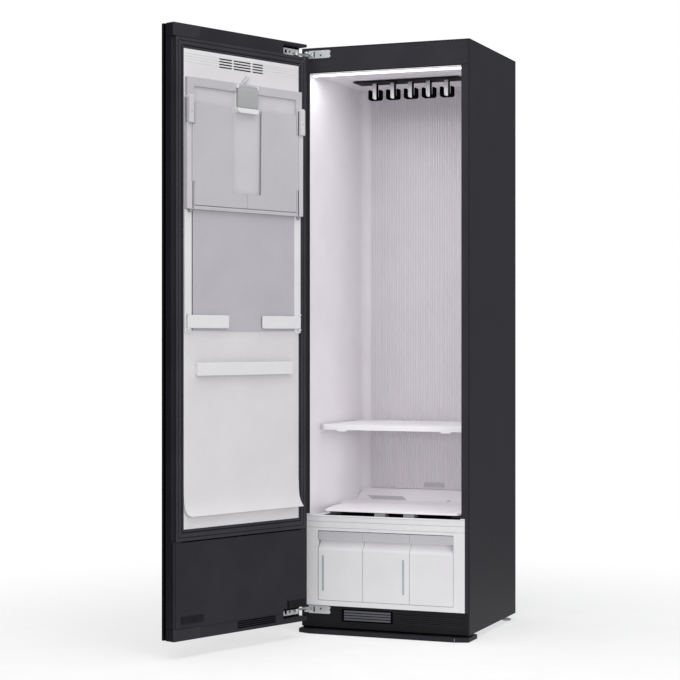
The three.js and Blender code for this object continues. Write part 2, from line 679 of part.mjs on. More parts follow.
// Trouser press: a raised frame with two leaves hinged on its sides, a clip above and a board below
const pressHalf = 259;
const pressEdges = [doorMiddle - pressHalf, doorMiddle + pressHalf];
const pressZ = [1385, 1793];
const railInner = 239.5;
const leafPin = { side: 232.5, n: 15 };
const leafFace = leafPin.n + 3.3;
const leafZ = [1398, 1714];
const knuckleZ = [1470, 1648];
function onBothSides(make) {
  return [-1, 1].map(make);
}
function sideBox(side, inner, outer, n0, n1, z0, z1) {
  const low = doorMiddle + (side < 0 ? -outer : inner);
  const high = doorMiddle + (side < 0 ? -inner : outer);
  return box(low, high, n0, n1, z0, z1);
}
function buildPressFrame() {
  const back = [3 + gap, 5.3];
  const topHalf = 256;
  const top = [doorMiddle - topHalf, doorMiddle + topHalf];
  const parts = [
    box(top[0], top[1], back[0], back[1], pressZ[0], pressZ[1]),
    box(top[0], top[1], back[0], 15, 1765, pressZ[1]),
    box(pressEdges[0], pressEdges[1], back[0], 16, pressZ[0], 1396.5),
  ];
  for (const side of [-1, 1]) {
    parts.push(sideBox(side, 228, topHalf, back[0], 15, 1731, 1766));
    parts.push(sideBox(side, railInner, pressHalf, back[0], leafFace, pressZ[0], 1732));
    parts.push(sideBox(side, 237.5, pressHalf, back[0], 28, knuckleZ[1] + 1, 1732));
    parts.push(sideBox(side, 228.5, railInner + 1, back[0], leafFace, knuckleZ[1] + 1, 1732));
    parts.push(sideBox(side, 228.5, railInner + 1, back[0], leafFace, pressZ[0], knuckleZ[0] - 1));
  }
  const clip = [
    box(doorMiddle - 46, doorMiddle + 46, back[0], 13, 1699.5, 1789),
    box(doorMiddle - 46, doorMiddle + 46, 12, 24, 1699.5, 1715.5),
    box(doorMiddle - 46, doorMiddle - 41, 12, 24, 1777, 1789),
    box(doorMiddle + 41, doorMiddle + 46, 12, 24, 1777, 1789),
  ];
  const holes = onBothSides((side) => {
    const a = doorMiddle + side * leafPin.side;
    return cylinderZ(2.6, a, leafPin.n, knuckleZ[0] - 10, knuckleZ[1] + 10, 12);
  });
  const clipHole = cylinderX(2, clipAxis.n, clipAxis.z, doorMiddle - 44.5, doorMiddle + 44.5, 12);
  place(door, "press_frame", cut(join(...parts, ...clip), ...holes, clipHole), whitePlastic());
}
const clipAxis = { n: 19.5, z: 1783 };
function buildClipLid() {
  const half = 40.5;
  const lid = join(
    box(doorMiddle - half, doorMiddle + half, 19, 23, 1716.2, clipAxis.z),
    box(doorMiddle - 45, doorMiddle + 45, 19.5, 23, 1716.2, 1775),
    cylinderX(4, clipAxis.n, clipAxis.z, doorMiddle - half, doorMiddle + half, 16),
    cylinderX(1.6, clipAxis.n, clipAxis.z, doorMiddle - half - 3, doorMiddle + half + 3, 10),
  );
  place(door, "clip_lid", lid, greyPlastic());
}
function leafOutline() {
  const inner = 0.5;
  const windowTop = 66;
  const windowLow = 63;
  const windowZ = 1443;
  const edge = 227;
  const wideEdge = 238.1;
  return [
    [inner, leafZ[0]], [edge, leafZ[0]], [edge, knuckleZ[0]], [wideEdge, knuckleZ[0]],
    [wideEdge, knuckleZ[1]], [edge, knuckleZ[1]], [edge, leafZ[1]], [windowTop, leafZ[1]],
    [windowLow, windowZ + 8], [windowLow - 6, windowZ], [inner, windowZ],
  ];
}
function buildLeaves() {
  for (const [side, name] of [[-1, "press_leaf_hinge_side"], [1, "press_leaf_free_side"]]) {
    const right = leafOutline();
    const outline = (side > 0 ? right : mirrored(right)).map(([a, z]) => [a + doorMiddle, z]);
    const pinA = doorMiddle + side * leafPin.side;
    const leaf = join(
      prismY(outline, leafPin.n, leafFace),
      cylinderZ(4.2, pinA, leafPin.n, knuckleZ[0], knuckleZ[1], 16),
      cylinderZ(2.2, pinA, leafPin.n, knuckleZ[0] - 7, knuckleZ[1] + 7, 12),
    );
    place(door, name, leaf, greyPlastic());
  }
}
const armPin = { side: 249, n: 11.2 };
const armZ = [1017.5, 1058.5];
function buildBoard() {
  const top = pressZ[0] - gap;
  const parts = [box(doorMiddle - 231, doorMiddle + 231, 3 + gap, 5.2, 1010, top)];
  for (const side of [-1, 1]) {
    parts.push(sideBox(side, 229.5, 258.5, 3 + gap, 6.6, 1003, top));
    parts.push(sideBox(side, 244.5, 253.5, 6, 14.6, armZ[1] + 0.5, armZ[1] + 6));
    parts.push(sideBox(side, 244.5, 253.5, 6, 14.6, armZ[0] - 6, armZ[0] - 0.5));
  }
  const holes = onBothSides((side) => {
    return cylinderZ(2.1, doorMiddle + side * armPin.side, armPin.n, armZ[0] - 4.5, armZ[1] + 4.5, 10);
  });
  place(door, "trouser_board", cut(join(...parts), ...holes), whitePlastic());
}
function buildArms() {
  const reach = 174;
  for (const [side, name] of [[-1, "holder_arm_hinge_side"], [1, "holder_arm_free_side"]]) {
    const pinA = doorMiddle + side * armPin.side;
    const far = pinA - side * reach;
    const plate = prismY(
      roundedRectangle(Math.min(pinA, far), Math.max(pinA, far), armZ[0], armZ[1], 7, 3), 9.4, 13.4,
    );
    const arm = join(
      plate, cylinderZ(2.9, pinA, armPin.n, armZ[0], armZ[1], 14),
      cylinderZ(1.7, pinA, armPin.n, armZ[0] - 3.5, armZ[1] + 3.5, 10),
    );
    place(door, name, arm, whitePlastic());
  }
}
function buildRestBar() {
  const half = 212;
  const outer = [
    [-half, 3 + gap], [-half, 17], [half, 17], [half, 3 + gap], [half - 3, 3 + gap], [half - 3, 14],
    [-half + 3, 14], [-half + 3, 3 + gap],
  ].map(([a, n]) => [a + doorMiddle, n]);
  place(door, "trouser_rest_bar", prismZ(outer.reverse(), 870, 911), whitePlastic());
}

buildCasing();
buildBase();
buildFrontFrame();
buildLiner();
buildFlutedWall();
buildCeiling();
buildFloor();
buildFascia();
buildUnits();
buildHangerDrive();
buildHangerBar();
buildShelf();
buildFloorPlate();
buildMachinery();
buildHinges();
buildDoorShell();
buildDoorLiner();
buildPressFrame();
buildClipLid();
buildLeaves();
buildBoard();
buildArms();
buildRestBar();
cabinet.add(swing);

export default cabinet;
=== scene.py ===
import math

import bmesh
import bpy
from mathutils import Matrix, Vector


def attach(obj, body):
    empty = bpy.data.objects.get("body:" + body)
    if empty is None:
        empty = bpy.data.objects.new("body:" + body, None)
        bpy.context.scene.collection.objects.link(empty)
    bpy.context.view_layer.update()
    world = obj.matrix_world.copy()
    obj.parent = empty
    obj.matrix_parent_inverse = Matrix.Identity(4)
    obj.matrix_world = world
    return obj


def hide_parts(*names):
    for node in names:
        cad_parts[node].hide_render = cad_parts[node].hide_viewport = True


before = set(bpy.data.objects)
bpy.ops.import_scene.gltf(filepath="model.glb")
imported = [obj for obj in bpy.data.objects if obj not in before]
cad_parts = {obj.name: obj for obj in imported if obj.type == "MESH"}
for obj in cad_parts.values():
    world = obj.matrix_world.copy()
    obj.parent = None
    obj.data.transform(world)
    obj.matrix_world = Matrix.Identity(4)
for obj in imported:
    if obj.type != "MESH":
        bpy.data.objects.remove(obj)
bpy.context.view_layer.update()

# Looks of the clothes care steam cabinet. Pieces are drawn in millimetres in the CAD frame,
# and the door's pieces in the door's own axes: a from its hinge-side edge, n inwards, z up.
MM = 0.001

# From the door's axes to the room's: the hinge line goes to the origin, the door turns open,
# and the line goes to its place beside the cabinet.
DOOR_ANGLE = -110.7
DOOR = (
    Matrix.Translation((-0.2992, -0.0718, 0))
    @ Matrix.Rotation(math.radians(DOOR_ANGLE), 4, "Z")
    @ Matrix.Translation((0.0004, 0.0668, 0))
)
scene = bpy.context.scene
scene.view_settings.view_transform = "Standard"

# Driving dimensions: the front plane is y = 0 and the ground is z = 0
HEIGHT, ROOF, DEPTH = 1960, 1956, 538.3
TOP_HALF, FRONT_HALF, FASCIA_HALF, MOUTH_HALF = 295, 289.7, 278, 266
SHEET, SHEET_FOOT, GAP = 2, 22, 0.3
KICK_TOP, FASCIA_TOP, CEILING, RAIL_FOOT = 93, 400, 1872, 1877
DOOR_WIDTH, DOOR_FOOT, DOOR_FACE = 597.6, 55, -52
COVER_TOP, SEAL_EDGE = 361, 589
NOTCH_DEPTH, LOW_NOTCH, HIGH_NOTCH = 111, (69, 103), (1913, 1947)

# Materials
ROUGHNESS_SPREAD = 0.06
BUMP_DISTANCE = 0.0006


def linear(red, green, blue):
    def channel(value):
        value /= 255
        return value / 12.92 if value <= 0.04045 else ((value + 0.055) / 1.055) ** 2.4
    return (channel(red), channel(green), channel(blue), 1.0)


def node(tree, kind, **values):
    made = tree.nodes.new(kind)
    for name, value in values.items():
        made.inputs[name.replace("_", " ")].default_value = value
    return made


def finish(name, color, other, rough, grain, grain_scale, cloud=7, stretch=(1, 1, 1), metallic=0, coat=0,
           emission=0, ior=1.46):
    """Two close colours in soft clouds, with a fine grain in roughness and bump."""
    made = bpy.data.materials.new(name)
    made.use_nodes = True
    tree = made.node_tree
    link = tree.links.new
    shader = tree.nodes["Principled BSDF"]
    shader.inputs["Metallic"].default_value = metallic
    shader.inputs["Coat Weight"].default_value = coat
    shader.inputs["Coat Roughness"].default_value = 0.12
    shader.inputs["IOR"].default_value = ior
    place = tree.nodes.new("ShaderNodeTexCoord")
    mapping = node(tree, "ShaderNodeMapping", Scale=stretch)
    link(place.outputs["Object"], mapping.inputs["Vector"])
    clouds = node(tree, "ShaderNodeTexNoise", Scale=cloud, Detail=4.0, Roughness=0.55)
    link(place.outputs["Object"], clouds.inputs["Vector"])
    ramp = tree.nodes.new("ShaderNodeValToRGB")
    for stop, position, shade in zip(ramp.color_ramp.elements, (0.35, 0.68), (color, other)):
        stop.position = position
        stop.color = linear(*shade)
    link(clouds.outputs["Fac"], ramp.inputs["Fac"])
    link(ramp.outputs["Color"], shader.inputs["Base Color"])
    fine = node(tree, "ShaderNodeTexNoise", Scale=grain_scale, Detail=3.0, Roughness=0.6)
    link(mapping.outputs["Vector"], fine.inputs["Vector"])
    low, high = max(rough - ROUGHNESS_SPREAD, 0.02), rough + ROUGHNESS_SPREAD
    spread = node(tree, "ShaderNodeMapRange", To_Min=low, To_Max=high)
    link(fine.outputs["Fac"], spread.inputs["Value"])
    link(spread.outputs["Result"], shader.inputs["Roughness"])
    bump = node(tree, "ShaderNodeBump", Strength=grain, Distance=BUMP_DISTANCE)
    link(fine.outputs["Fac"], bump.inputs["Height"])
    link(bump.outputs["Normal"], shader.inputs["Normal"])
    if emission:
        shader.inputs["Emission Color"].default_value = (1, 1, 1, 1)
        shader.inputs["Emission Strength"].default_value = emission
    return made


# Name, two colours, roughness, strength and scale of the grain, scale of the clouds
black_paint = finish("black_paint", (40, 40, 45), (42, 42, 47), 0.5, 0.08, 1500, ior=1.17)
# A lighter copy of the black paint: painted light on the front rail, stiles and the door frame's end plates
black_paint_painted_light = finish("black_paint_painted_light_front", (50, 49, 54), (55, 54, 58), 0.5, 0.08, 1500, ior=1.12)
black_frame = finish("black_frame_plastic", (44, 43, 48), (48, 47, 52), 0.5, 0.14, 1300, ior=1.15)
# A darker copy of the door's blacks: painted shade on the frame's free edge and in the seal's valleys
painted_shade_edge_black = finish("painted_shade_door_edge", (22, 22, 26), (26, 26, 30), 0.45, 0.08, 1300, ior=1.15)
black_kick = finish("black_kick_plastic", (28, 28, 30), (34, 34, 36), 0.55, 0.2, 1100, ior=1.15)
# Lighter grey: painted highlight on the black grille slats and on the seal's mitre lines
painted_highlight_grey = finish("painted_highlight_grey", (88, 88, 96), (96, 96, 104), 0.5, 0.1, 1200, ior=1.2)
# Dull black plastic of the gland, hooks and machinery, also painted shade on the sunk floor under the plate
dull_black_and_painted_shade = finish("dull_black_plastic_and_painted_shade", (24, 24, 26), (30, 29, 32), 0.62, 0.2, 1100, ior=1.2)
black_rubber = finish("black_rubber", (54, 53, 58), (60, 59, 64), 0.66, 0.12, 1700, ior=1.15)
# Near black: the hooks' black sides, and painted shade in gaps, holes, recesses and backings
near_black_and_painted_shade = finish("near_black_painted_shade", (4, 4, 5), (7, 7, 8), 0.85, 0.1, 900, ior=1.08)
white_cavity = finish("white_cavity", (237, 233, 238), (241, 238, 242), 0.5, 0.05, 1500)
white_back = finish("white_back", (219, 215, 220), (223, 219, 224), 0.5, 0.05, 1500)
# A brighter copy of the cavity white: painted light on the shelf and the floor plate
white_plate_painted_light = finish("white_plate_painted_light", (246, 243, 246), (249, 247, 249), 0.45, 0.05, 1500)
white_liner = finish("white_liner", (213, 211, 213), (218, 216, 218), 0.5, 0.05, 1500)
white_front = finish("white_front", (222, 220, 223), (227, 226, 228), 0.42, 0.04, 1600)
white_press = finish("white_press", (220, 219, 221), (225, 224, 226), 0.44, 0.05, 1600)
pale_press = finish("pale_press", (195, 193, 196), (201, 199, 202), 0.46, 0.05, 1600)
grey_press = finish("grey_press", (183, 181, 185), (188, 186, 190), 0.5, 0.06, 1600)
grey_board = finish("grey_board", (178, 176, 181), (184, 182, 187), 0.5, 0.06, 1600)
grey_clip = finish("grey_clip", (160, 161, 162), (167, 168, 169), 0.46, 0.05, 1600)
grey_strip = finish("grey_strip", (184, 184, 188), (190, 190, 194), 0.36, 0.04, 1500)
grey_plastic = finish("grey_plastic", (150, 150, 154), (162, 162, 165), 0.5, 0.1, 1200)
window = finish("level_window", (160, 170, 172), (172, 181, 182), 0.16, 0.02, 700, coat=0.5)
# Nickel painted near white and mostly diffuse: painted reflection of the chrome hinge arms
nickel_painted_reflection = finish("nickel_painted_reflection", (240, 241, 242), (245, 246, 246), 0.34, 0.02, 1400, 12,
                       metallic=0.15)
nickel = finish("nickel", (214, 217, 219), (222, 225, 227), 0.34, 0.02, 1400, 12, metallic=0.85)
steel = finish("sheet_steel", (168, 172, 176), (192, 195, 198), 0.36, 0.1, 500, 90, metallic=0.95)
brushed = finish("brushed_strip", (206, 207, 210), (218, 218, 221), 0.36, 0.1, 900, 30,
                 stretch=(6, 6, 0.25), metallic=0.45)
iron = finish("compressor_iron", (34, 35, 38), (46, 47, 50), 0.5, 0.3, 600, 14, metallic=0.3)
aluminium = finish("fin_aluminium", (182, 185, 188), (205, 207, 210), 0.33, 0.08, 800, 40, metallic=0.95)
lens = finish("light_lens", (250, 250, 250), (255, 255, 255), 0.3, 0.02, 500, emission=1.5)


# Outlines and profiles
def rectangle(u0, u1, v0, v1):
    return [(u0, v0), (u1, v0), (u1, v1), (u0, v1)]


def arc(u, v, radius, start, end, steps=8):
    points = []
    for i in range(steps + 1):
        angle = math.radians(start + (end - start) * i / steps)
        points.append((u + radius * math.cos(angle), v + radius * math.sin(angle)))
    return points


def rounded(u0, u1, v0, v1, radius, steps=5):
    r = max(min(radius, (u1 - u0) / 2 - 0.01, (v1 - v0) / 2 - 0.01), 0.02)
    return (
        arc(u1 - r, v0 + r, r, -90, 0, steps) + arc(u1 - r, v1 - r, r, 0, 90, steps)
        + arc(u0 + r, v1 - r, r, 90, 180, steps) + arc(u0 + r, v0 + r, r, 180, 270, steps)
    )


def mirrored(points):
    return [(-u, v) for u, v in reversed(points)]


def on_side(points, side):
    """An outline drawn for the side of larger u, or its mirror image."""
    return points if side > 0 else mirrored(points)


def rod(radius, low, high):
    """The profile of a plain rod, to be turned by lathe."""
    return [(0, low), (radius, low), (radius, high), (0, high)]


def smooth_step(value, low, high):
    t = min(max((value - low) / (high - low), 0), 1)
    return t * t * (3 - 2 * t)


PLANES = {
    "xy": lambda u, v, w: (u, v, w),
    "xz": lambda u, v, w: (u, w, v),
    "yz": lambda u, v, w: (w, u, v),
}
SIDES = ((1, "right"), (-1, "left"))


class Piece:
    """One object of the scene, put together from closed parts.
    A part that is given no paint is in the main material."""

    def __init__(self, name, main):
        self.name = name
        self.materials = [main]
        self.mesh = bmesh.new()

    def number(self, paint):
        """The slot of a material in this piece, which is added when it is new."""
        if paint is None:
            return 0
        if paint not in self.materials:
            self.materials.append(paint)
        return self.materials.index(paint)

    def keep(self, part):
        carrier = bpy.data.meshes.new("carrier")
        part.to_mesh(carrier)
        part.free()
        self.mesh.from_mesh(carrier)
        bpy.data.meshes.remove(carrier)

    def take(self, part, paint):
        bmesh.ops.remove_doubles(part, verts=part.verts, dist=0.002)
        bmesh.ops.recalc_face_normals(part, faces=part.faces)
        number = self.number(paint)
        for face in part.faces:
            face.material_index = number
        self.keep(part)

    def repaint(self, chosen, paint):
        """Puts the faces that pass chosen() in another material."""
        self.mesh.normal_update()
        number = self.number(paint)
        for face in self.mesh.faces:
            if chosen(face):
                face.material_index = number

    def box(self, x0, x1, y0, y1, z0, z1, rim=0.6, paint=None, segments=2):
        part = bmesh.new()
        bmesh.ops.create_cube(part, size=1)
        for vertex in part.verts:
            x, y, z = vertex.co
            vertex.co = (
                x0 + (x + 0.5) * (x1 - x0), y0 + (y + 0.5) * (y1 - y0), z0 + (z + 0.5) * (z1 - z0)
            )
        if rim:
            bmesh.ops.bevel(
                part, geom=part.edges[:], offset=rim, segments=segments, profile=0.5, affect="EDGES"
            )
        self.take(part, paint)

    def prism(self, outline, low, high, holes=(), rim=0.5, plane="xz", paint=None):
        """An outline with holes, pulled from low to high, its edges rounded by rim."""
        curve = bpy.data.curves.new("outline", "CURVE")
        curve.dimensions = "2D"
        curve.fill_mode = "BOTH"
        for ring in [outline, *holes]:
            spline = curve.splines.new("POLY")
            spline.points.add(len(ring) - 1)
            for point, (u, v) in zip(spline.points, ring):
                point.co = (u, v, 0, 1)
            spline.use_cyclic_u = True
        curve.extrude = (high - low) / 2 - rim
        curve.bevel_depth = rim
        curve.bevel_resolution = 1
        curve.offset = -rim
        carrier = bpy.data.objects.new("outline", curve)
        scene.collection.objects.link(carrier)
        bpy.context.view_layer.update()
        mesh = bpy.data.meshes.new_from_object(
            carrier.evaluated_get(bpy.context.evaluated_depsgraph_get())
        )
        part = bmesh.new()
        part.from_mesh(mesh)
        bpy.data.objects.remove(carrier)
        bpy.data.curves.remove(curve)
        bpy.data.meshes.remove(mesh)
        middle = (low + high) / 2
        for vertex in part.verts:
            u, v, w = vertex.co
            vertex.co = PLANES[plane](u, v, w + middle)
        self.take(part, paint)

    def slab(self, outline, low, high, holes=(), rim=0.5, paint=None):
        """A prism that lies flat, with z from low to high."""
        self.prism(outline, low, high, holes, rim, "xy", paint)

    def rings(self, loops, closed=False, paint=None):
        """A skin over loops of points, capped at both ends unless it closes on itself."""
        part = bmesh.new()
        made = [[part.verts.new(point) for point in loop] for loop in loops]
        count = len(made)
        for i in range(count if closed else count - 1):
            first, second = made[i], made[(i + 1) % count]
            for k in range(len(first)):
                m = (k + 1) % len(first)
                part.faces.new((first[k], first[m], second[m], second[k]))
        if not closed:
            part.faces.new(list(reversed(made[0])))
            part.faces.new(made[-1])
        self.take(part, paint)

    def grid(self, rows, back, dark=None, shade=None):
        """A closed sheet: rows of front points, with back(point) giving the point behind each.
        Front faces whose centre passes dark() are in the material shade, a painted shade."""
        part = bmesh.new()
        front = [[part.verts.new(point) for point in row] for row in rows]
        rear = [[part.verts.new(back(point)) for point in row] for row in rows]
        height, width = len(rows), len(rows[0])
        marked = []
        for i in range(height - 1):
            for k in range(width - 1):
                corners = ((i, k), (i, k + 1), (i + 1, k + 1), (i + 1, k))
                face = part.faces.new([front[j][m] for j, m in corners])
                if dark and dark(face.calc_center_median()):
                    marked.append(face)
                part.faces.new([rear[j][m] for j, m in (corners[0], corners[3], corners[2], corners[1])])
        edge = [(0, k) for k in range(width)]
        edge += [(i, width - 1) for i in range(1, height)]
        edge += [(height - 1, k) for k in range(width - 2, -1, -1)]
        edge += [(i, 0) for i in range(height - 2, 0, -1)]
        for (i, k), (j, m) in zip(edge, edge[1:] + edge[:1]):
            part.faces.new((front[i][k], rear[i][k], rear[j][m], front[j][m]))
        bmesh.ops.recalc_face_normals(part, faces=part.faces)
        for face in marked:
            face.material_index = self.number(shade)
        self.keep(part)

    def lathe(self, profile, centre, axis="z", paint=None, steps=32):
        """A profile of (radius, distance along the axis) turned about the axis."""
        turned = []
        for radius, along in profile:
            ring = []
            for i in range(steps):
                angle = 2 * math.pi * i / steps
                u, v = max(radius, 0.005) * math.cos(angle), max(radius, 0.005) * math.sin(angle)
                point = {"x": (along, u, v), "y": (v, along, u), "z": (u, v, along)}[axis]
                ring.append(Vector(point) + Vector(centre))
            turned.append(ring)
        self.rings(turned, paint=paint)

    def tube(self, path, radius, paint=None, sides=12):
        """A round bar along a path of points."""
        points = [Vector(p) for p in path]
        loops = []
        side = None
        for i, point in enumerate(points):
            forward = (points[min(i + 1, len(points) - 1)] - points[max(i - 1, 0)]).normalized()
            if side is None:
                side = forward.orthogonal().normalized()
            side = (side - forward * side.dot(forward)).normalized()
            up = forward.cross(side)
            loops.append([
                point + (side * math.cos(t) + up * math.sin(t)) * radius
                for t in (2 * math.pi * k / sides for k in range(sides))
            ])
        self.rings(loops, paint=paint)

    def screw(self, x, y, z, radius, axis="y"):
        """A low round screw head with a crossed recess painted near black as shade, its axis along y or z.
        """
        head = [(radius, 0), (radius, 0.5), (radius * 0.8, 1.1), (radius * 0.3, 1.3), (0, 1.3)]
        self.lathe(head, (x, y, z), axis, steps=18)
        half, thin, low, high = radius * 0.55, radius * 0.13, 1.22, 1.34
        for long, wide in ((half, thin), (thin, half)):
            if axis == "y":
                self.box(x - long, x + long, y + low, y + high, z - wide, z + wide, 0, near_black_and_painted_shade)
            else:
                self.box(x - long, x + long, y - wide, y + wide, z + low, z + high, 0, near_black_and_painted_shade)

    def done(self, body, slot, *nodes, matrix=Matrix.Identity(4), angle=40, flat=True):
        """Makes the object, in metres, hangs it on the empty of the body it rides on, and hides the CAD
        nodes it stands for.
        """
        mesh = bpy.data.meshes.new(self.name)
        self.mesh.to_mesh(mesh)
        self.mesh.free()
        mesh.transform(matrix @ Matrix.Scale(MM, 4))
        for material in self.materials:
            mesh.materials.append(material)
        made = to_object(self.name, mesh, angle)
        if flat:
            weight = made.modifiers.new("even_faces", "WEIGHTED_NORMAL")
            weight.keep_sharp = True
            weight.weight = 80
        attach(made, body)
        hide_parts(*nodes)


def to_object(name, mesh, angle=40):
    mesh.shade_smooth()
    mesh.set_sharp_from_angle(angle=math.radians(angle))
    made = bpy.data.objects.new(name, mesh)
    scene.collection.objects.link(made)
    return made


def dress(name, body, width, material):
    """A copy of a CAD node with rounded edges and its own material."""
    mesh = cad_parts[name].data.copy()
    work = bmesh.new()
    work.from_mesh(mesh)
    bmesh.ops.remove_doubles(work, verts=work.verts, dist=0.00001)
    bmesh.ops.dissolve_limit(
        work, angle_limit=math.radians(0.5), verts=work.verts, edges=work.edges,
        use_dissolve_boundaries=False,
    )
    work.to_mesh(mesh)
    work.free()
    mesh.materials.clear()
    mesh.materials.append(material)
    made = to_object(name + "_finished", mesh)
    bevel = made.modifiers.new("round_edges", "BEVEL")
    bevel.width = width * MM
    bevel.segments = 2
    bevel.limit_method = "ANGLE"
    bevel.angle_limit = math.radians(32)
    bevel.harden_normals = True
    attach(made, body)
    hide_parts(name)


# Camera, from the photograph's perspective
camera = bpy.data.objects.new("camera", bpy.data.cameras.new("camera"))
scene.collection.objects.link(camera)
camera.data.sensor_width = 36
camera.data.lens = 97.14
camera.location = (2.0877, -5.6903, 0.981)
camera.rotation_euler = (math.radians(90), 0, math.radians(21.53))
scene.camera = camera

# Pale ground that fades out, seen in a white room
ground = finish("pale_floor", (172, 172, 172), (176, 176, 176), 0.9, 0.02, 60, emission=0.56, ior=1.1)
tree = ground.node_tree
link = tree.links.new
where = tree.nodes.new("ShaderNodeTexCoord")
reach = tree.nodes.new("ShaderNodeVectorMath")
reach.operation = "LENGTH"
link(where.outputs["Object"], reach.inputs[0])
fade = node(tree, "ShaderNodeMapRange", From_Min=0.55, From_Max=2.4, To_Min=1.0, To_Max=0.0)
fade.interpolation_type = "SMOOTHSTEP"
link(reach.outputs["Value"], fade.inputs["Value"])
link(fade.outputs["Result"], tree.nodes["Principled BSDF"].inputs["Alpha"])
disc = bmesh.new()
bmesh.ops.create_circle(disc, cap_ends=True, segments=64, radius=2.6)
floor_mesh = bpy.data.meshes.new("pale_floor")
disc.to_mesh(floor_mesh)
disc.free()
floor_mesh.materials.append(ground)
floor = bpy.data.objects.new("pale_floor", floor_mesh)
scene.collection.objects.link(floor)

world = bpy.data.worlds.new("studio")
scene.world = world
world.use_nodes = True
sky = world.node_tree
link = sky.links.new
backdrop = sky.nodes["Background"]
backdrop.inputs["Color"].default_value = (1, 1, 1, 1)
room = node(sky, "ShaderNodeBackground", Color=(0.97, 0.98, 1.0, 1.0), Strength=0.42)
seen = sky.nodes.new("ShaderNodeLightPath")
either = sky.nodes.new("ShaderNodeMixShader")
link(seen.outputs["Is Camera Ray"], either.inputs["Fac"])
link(room.outputs["Background"], either.inputs[1])
link(backdrop.outputs["Background"], either.inputs[2])
link(either.outputs["Shader"], sky.nodes["World Output"].inputs["Surface"])


def area_light(name, place, target, size, power):
    light = bpy.data.lights.new(name, "AREA")
    light.shape = "RECTANGLE"
    light.size, light.size_y = size
    light.energy = power
    made = bpy.data.objects.new(name, light)
    made.location = place
    made.rotation_euler = (Vector(target) - Vector(place)).to_track_quat("-Z", "Y").to_euler()
    made.visible_camera = False
    scene.collection.objects.link(made)


area_light("overhead", (0.4, -0.8, 4.2), (0.2, 0, 0), (4.0, 4.0), 90)
area_light("front", (0.1, -4.2, 2.9), (0, 0.2, 0.6), (2.6, 2.2), 50)
area_light("right", (4.0, -2.6, 1.4), (-0.3, 0, 0.9), (2.0, 2.6), 60)
area_light("under_shelf", (0.0, 0.29, 0.66), (0.0, 0.27, 0.3), (0.42, 0.3), 0.2)
area_light("lamp", (0.0, 0.03, 1.862), (0.0, 0.06, 0.0), (0.48, 0.03), 0.5)

# Casing: side panels, top, back, base
side_outline = [
    (290, 0.4), (290.4, 0), *arc(293.5, 1.5, 1.5, -90, 0, 4), *arc(293.5, 534.5, 1.5, 0, 90, 4),
    (283.4, 536), (283, 535.6), (283, 534.4), (283.4, 534), (292.6, 534), (293, 533.6),
    (293, 2.4), (292.6, 2), (290.4, 2), (290, 1.6),
]
for side, hand in SIDES:
    panel = Piece("casing_side_" + hand, black_paint)
    panel.slab(on_side(side_outline, side), SHEET_FOOT, ROOF, rim=0.35)
    for z in range(60, 1861, 360):
        panel.screw(side * 288, 536, z, 2.6)
    panel.done("cabinet", "black_paint", "side_panel_" + hand)

top = Piece("casing_top", black_paint)
top.slab(rounded(-TOP_HALF, TOP_HALF, 0, DEPTH, 2.5), ROOF + GAP, HEIGHT, rim=0.9)
for x in (-250, 0, 250):
    top.screw(x, 524, 1959.4, 2.8, axis="z")
top.done("cabinet", "black_paint", "top_cover")

GLAND_X, GLAND_Z = -230, 70
LOUVRE_PITCH, LOUVRE_HEIGHT = 14, 6
BACK_FACE = 537.5
louvre_z = [70 + row * LOUVRE_PITCH for row in range(9)]
louvres = [rounded(110, 240, z, z + LOUVRE_HEIGHT, 2.9, 4) for z in louvre_z]
gland_hole = arc(GLAND_X, GLAND_Z, 9.5, 0, 348.75, 31)
back = Piece("casing_back", steel)
back.prism(rectangle(-294, 294, SHEET_FOOT, ROOF), 536.3, 537.6, [*louvres, gland_hole], rim=0.3)
for z0, z1 in ((260, 760), (830, 1330), (1400, 1900)):
    for x0, x1 in ((-262, -12), (12, 262)):
        field = rounded(x0 + 9, x1 - 9, z0 + 9, z1 - 9, 14, 8)
        back.prism(rounded(x0, x1, z0, z1, 22, 8), 537.2, 538.6, [field], rim=0.6)
blade = ((0, 7.6), (1.4, 6.2), (1.0, 4.4), (0, 4.8))
for z in louvre_z:
    back.rings([[(x, 537.4 + y, z + dz) for y, dz in blade] for x in (112, 114, 236, 238)])
for x in (-284, 284):
    for z in (45, 385, 725, 1065, 1405, 1745, 1935):
        back.screw(x, BACK_FACE, z, 3.0)
for x in (-140, 0, 140):
    for z in (1940, 36):
        back.screw(x, BACK_FACE, z, 3.0)
back.done("cabinet", "sheet_steel", "back_panel")

gland = Piece("cord_gland_finished", dull_black_and_painted_shade)
gland_profile = [
    (9, 524), (9, 538.7), (14, 538.7), (14, 541), (13, 542.6), (9.6, 543), (8.2, 543.3), (4.6, 543.3),
    (4.4, 541), (0, 541),
]
nut_profile = [(12.6, 527), (12.6, 533), (9.2, 533.4), (9.2, 526.6)]
gland.lathe(gland_profile, (GLAND_X, 0, GLAND_Z), "y")
gland.lathe(nut_profile, (GLAND_X, 0, GLAND_Z), "y", steps=6)
gland.done("cabinet", "black_rubber", "cord_gland")

dress("base_pan", "cabinet", 0.5, steel)

bar = Piece("base_bar_finished", black_paint)
bar_outline = [
    *arc(-299, -5.4, 4, 200, 250, 4), (-260, -23.4), (-257, -24), (250, -24), (253, -23.4),
    *arc(291, -5.4, 4, 290, 340, 4), (295, 82), (291, 86), (-294, 86), (-303, 82),
]
bar.slab(bar_outline, 0, 14.8, rim=1.4)
# Near-black slab on the bar's top under the toe kick: painted shadow along their joint
bar.slab(rounded(-280, 280, 12, 78, 4), 13.8, 21.7, rim=0.8, paint=near_black_and_painted_shade)
bar.box(250, 251.2, -24.2, -18, 1.4, 13.4, 0.2, grey_plastic)
bar.done("cabinet", "black_plastic", "base_bar")

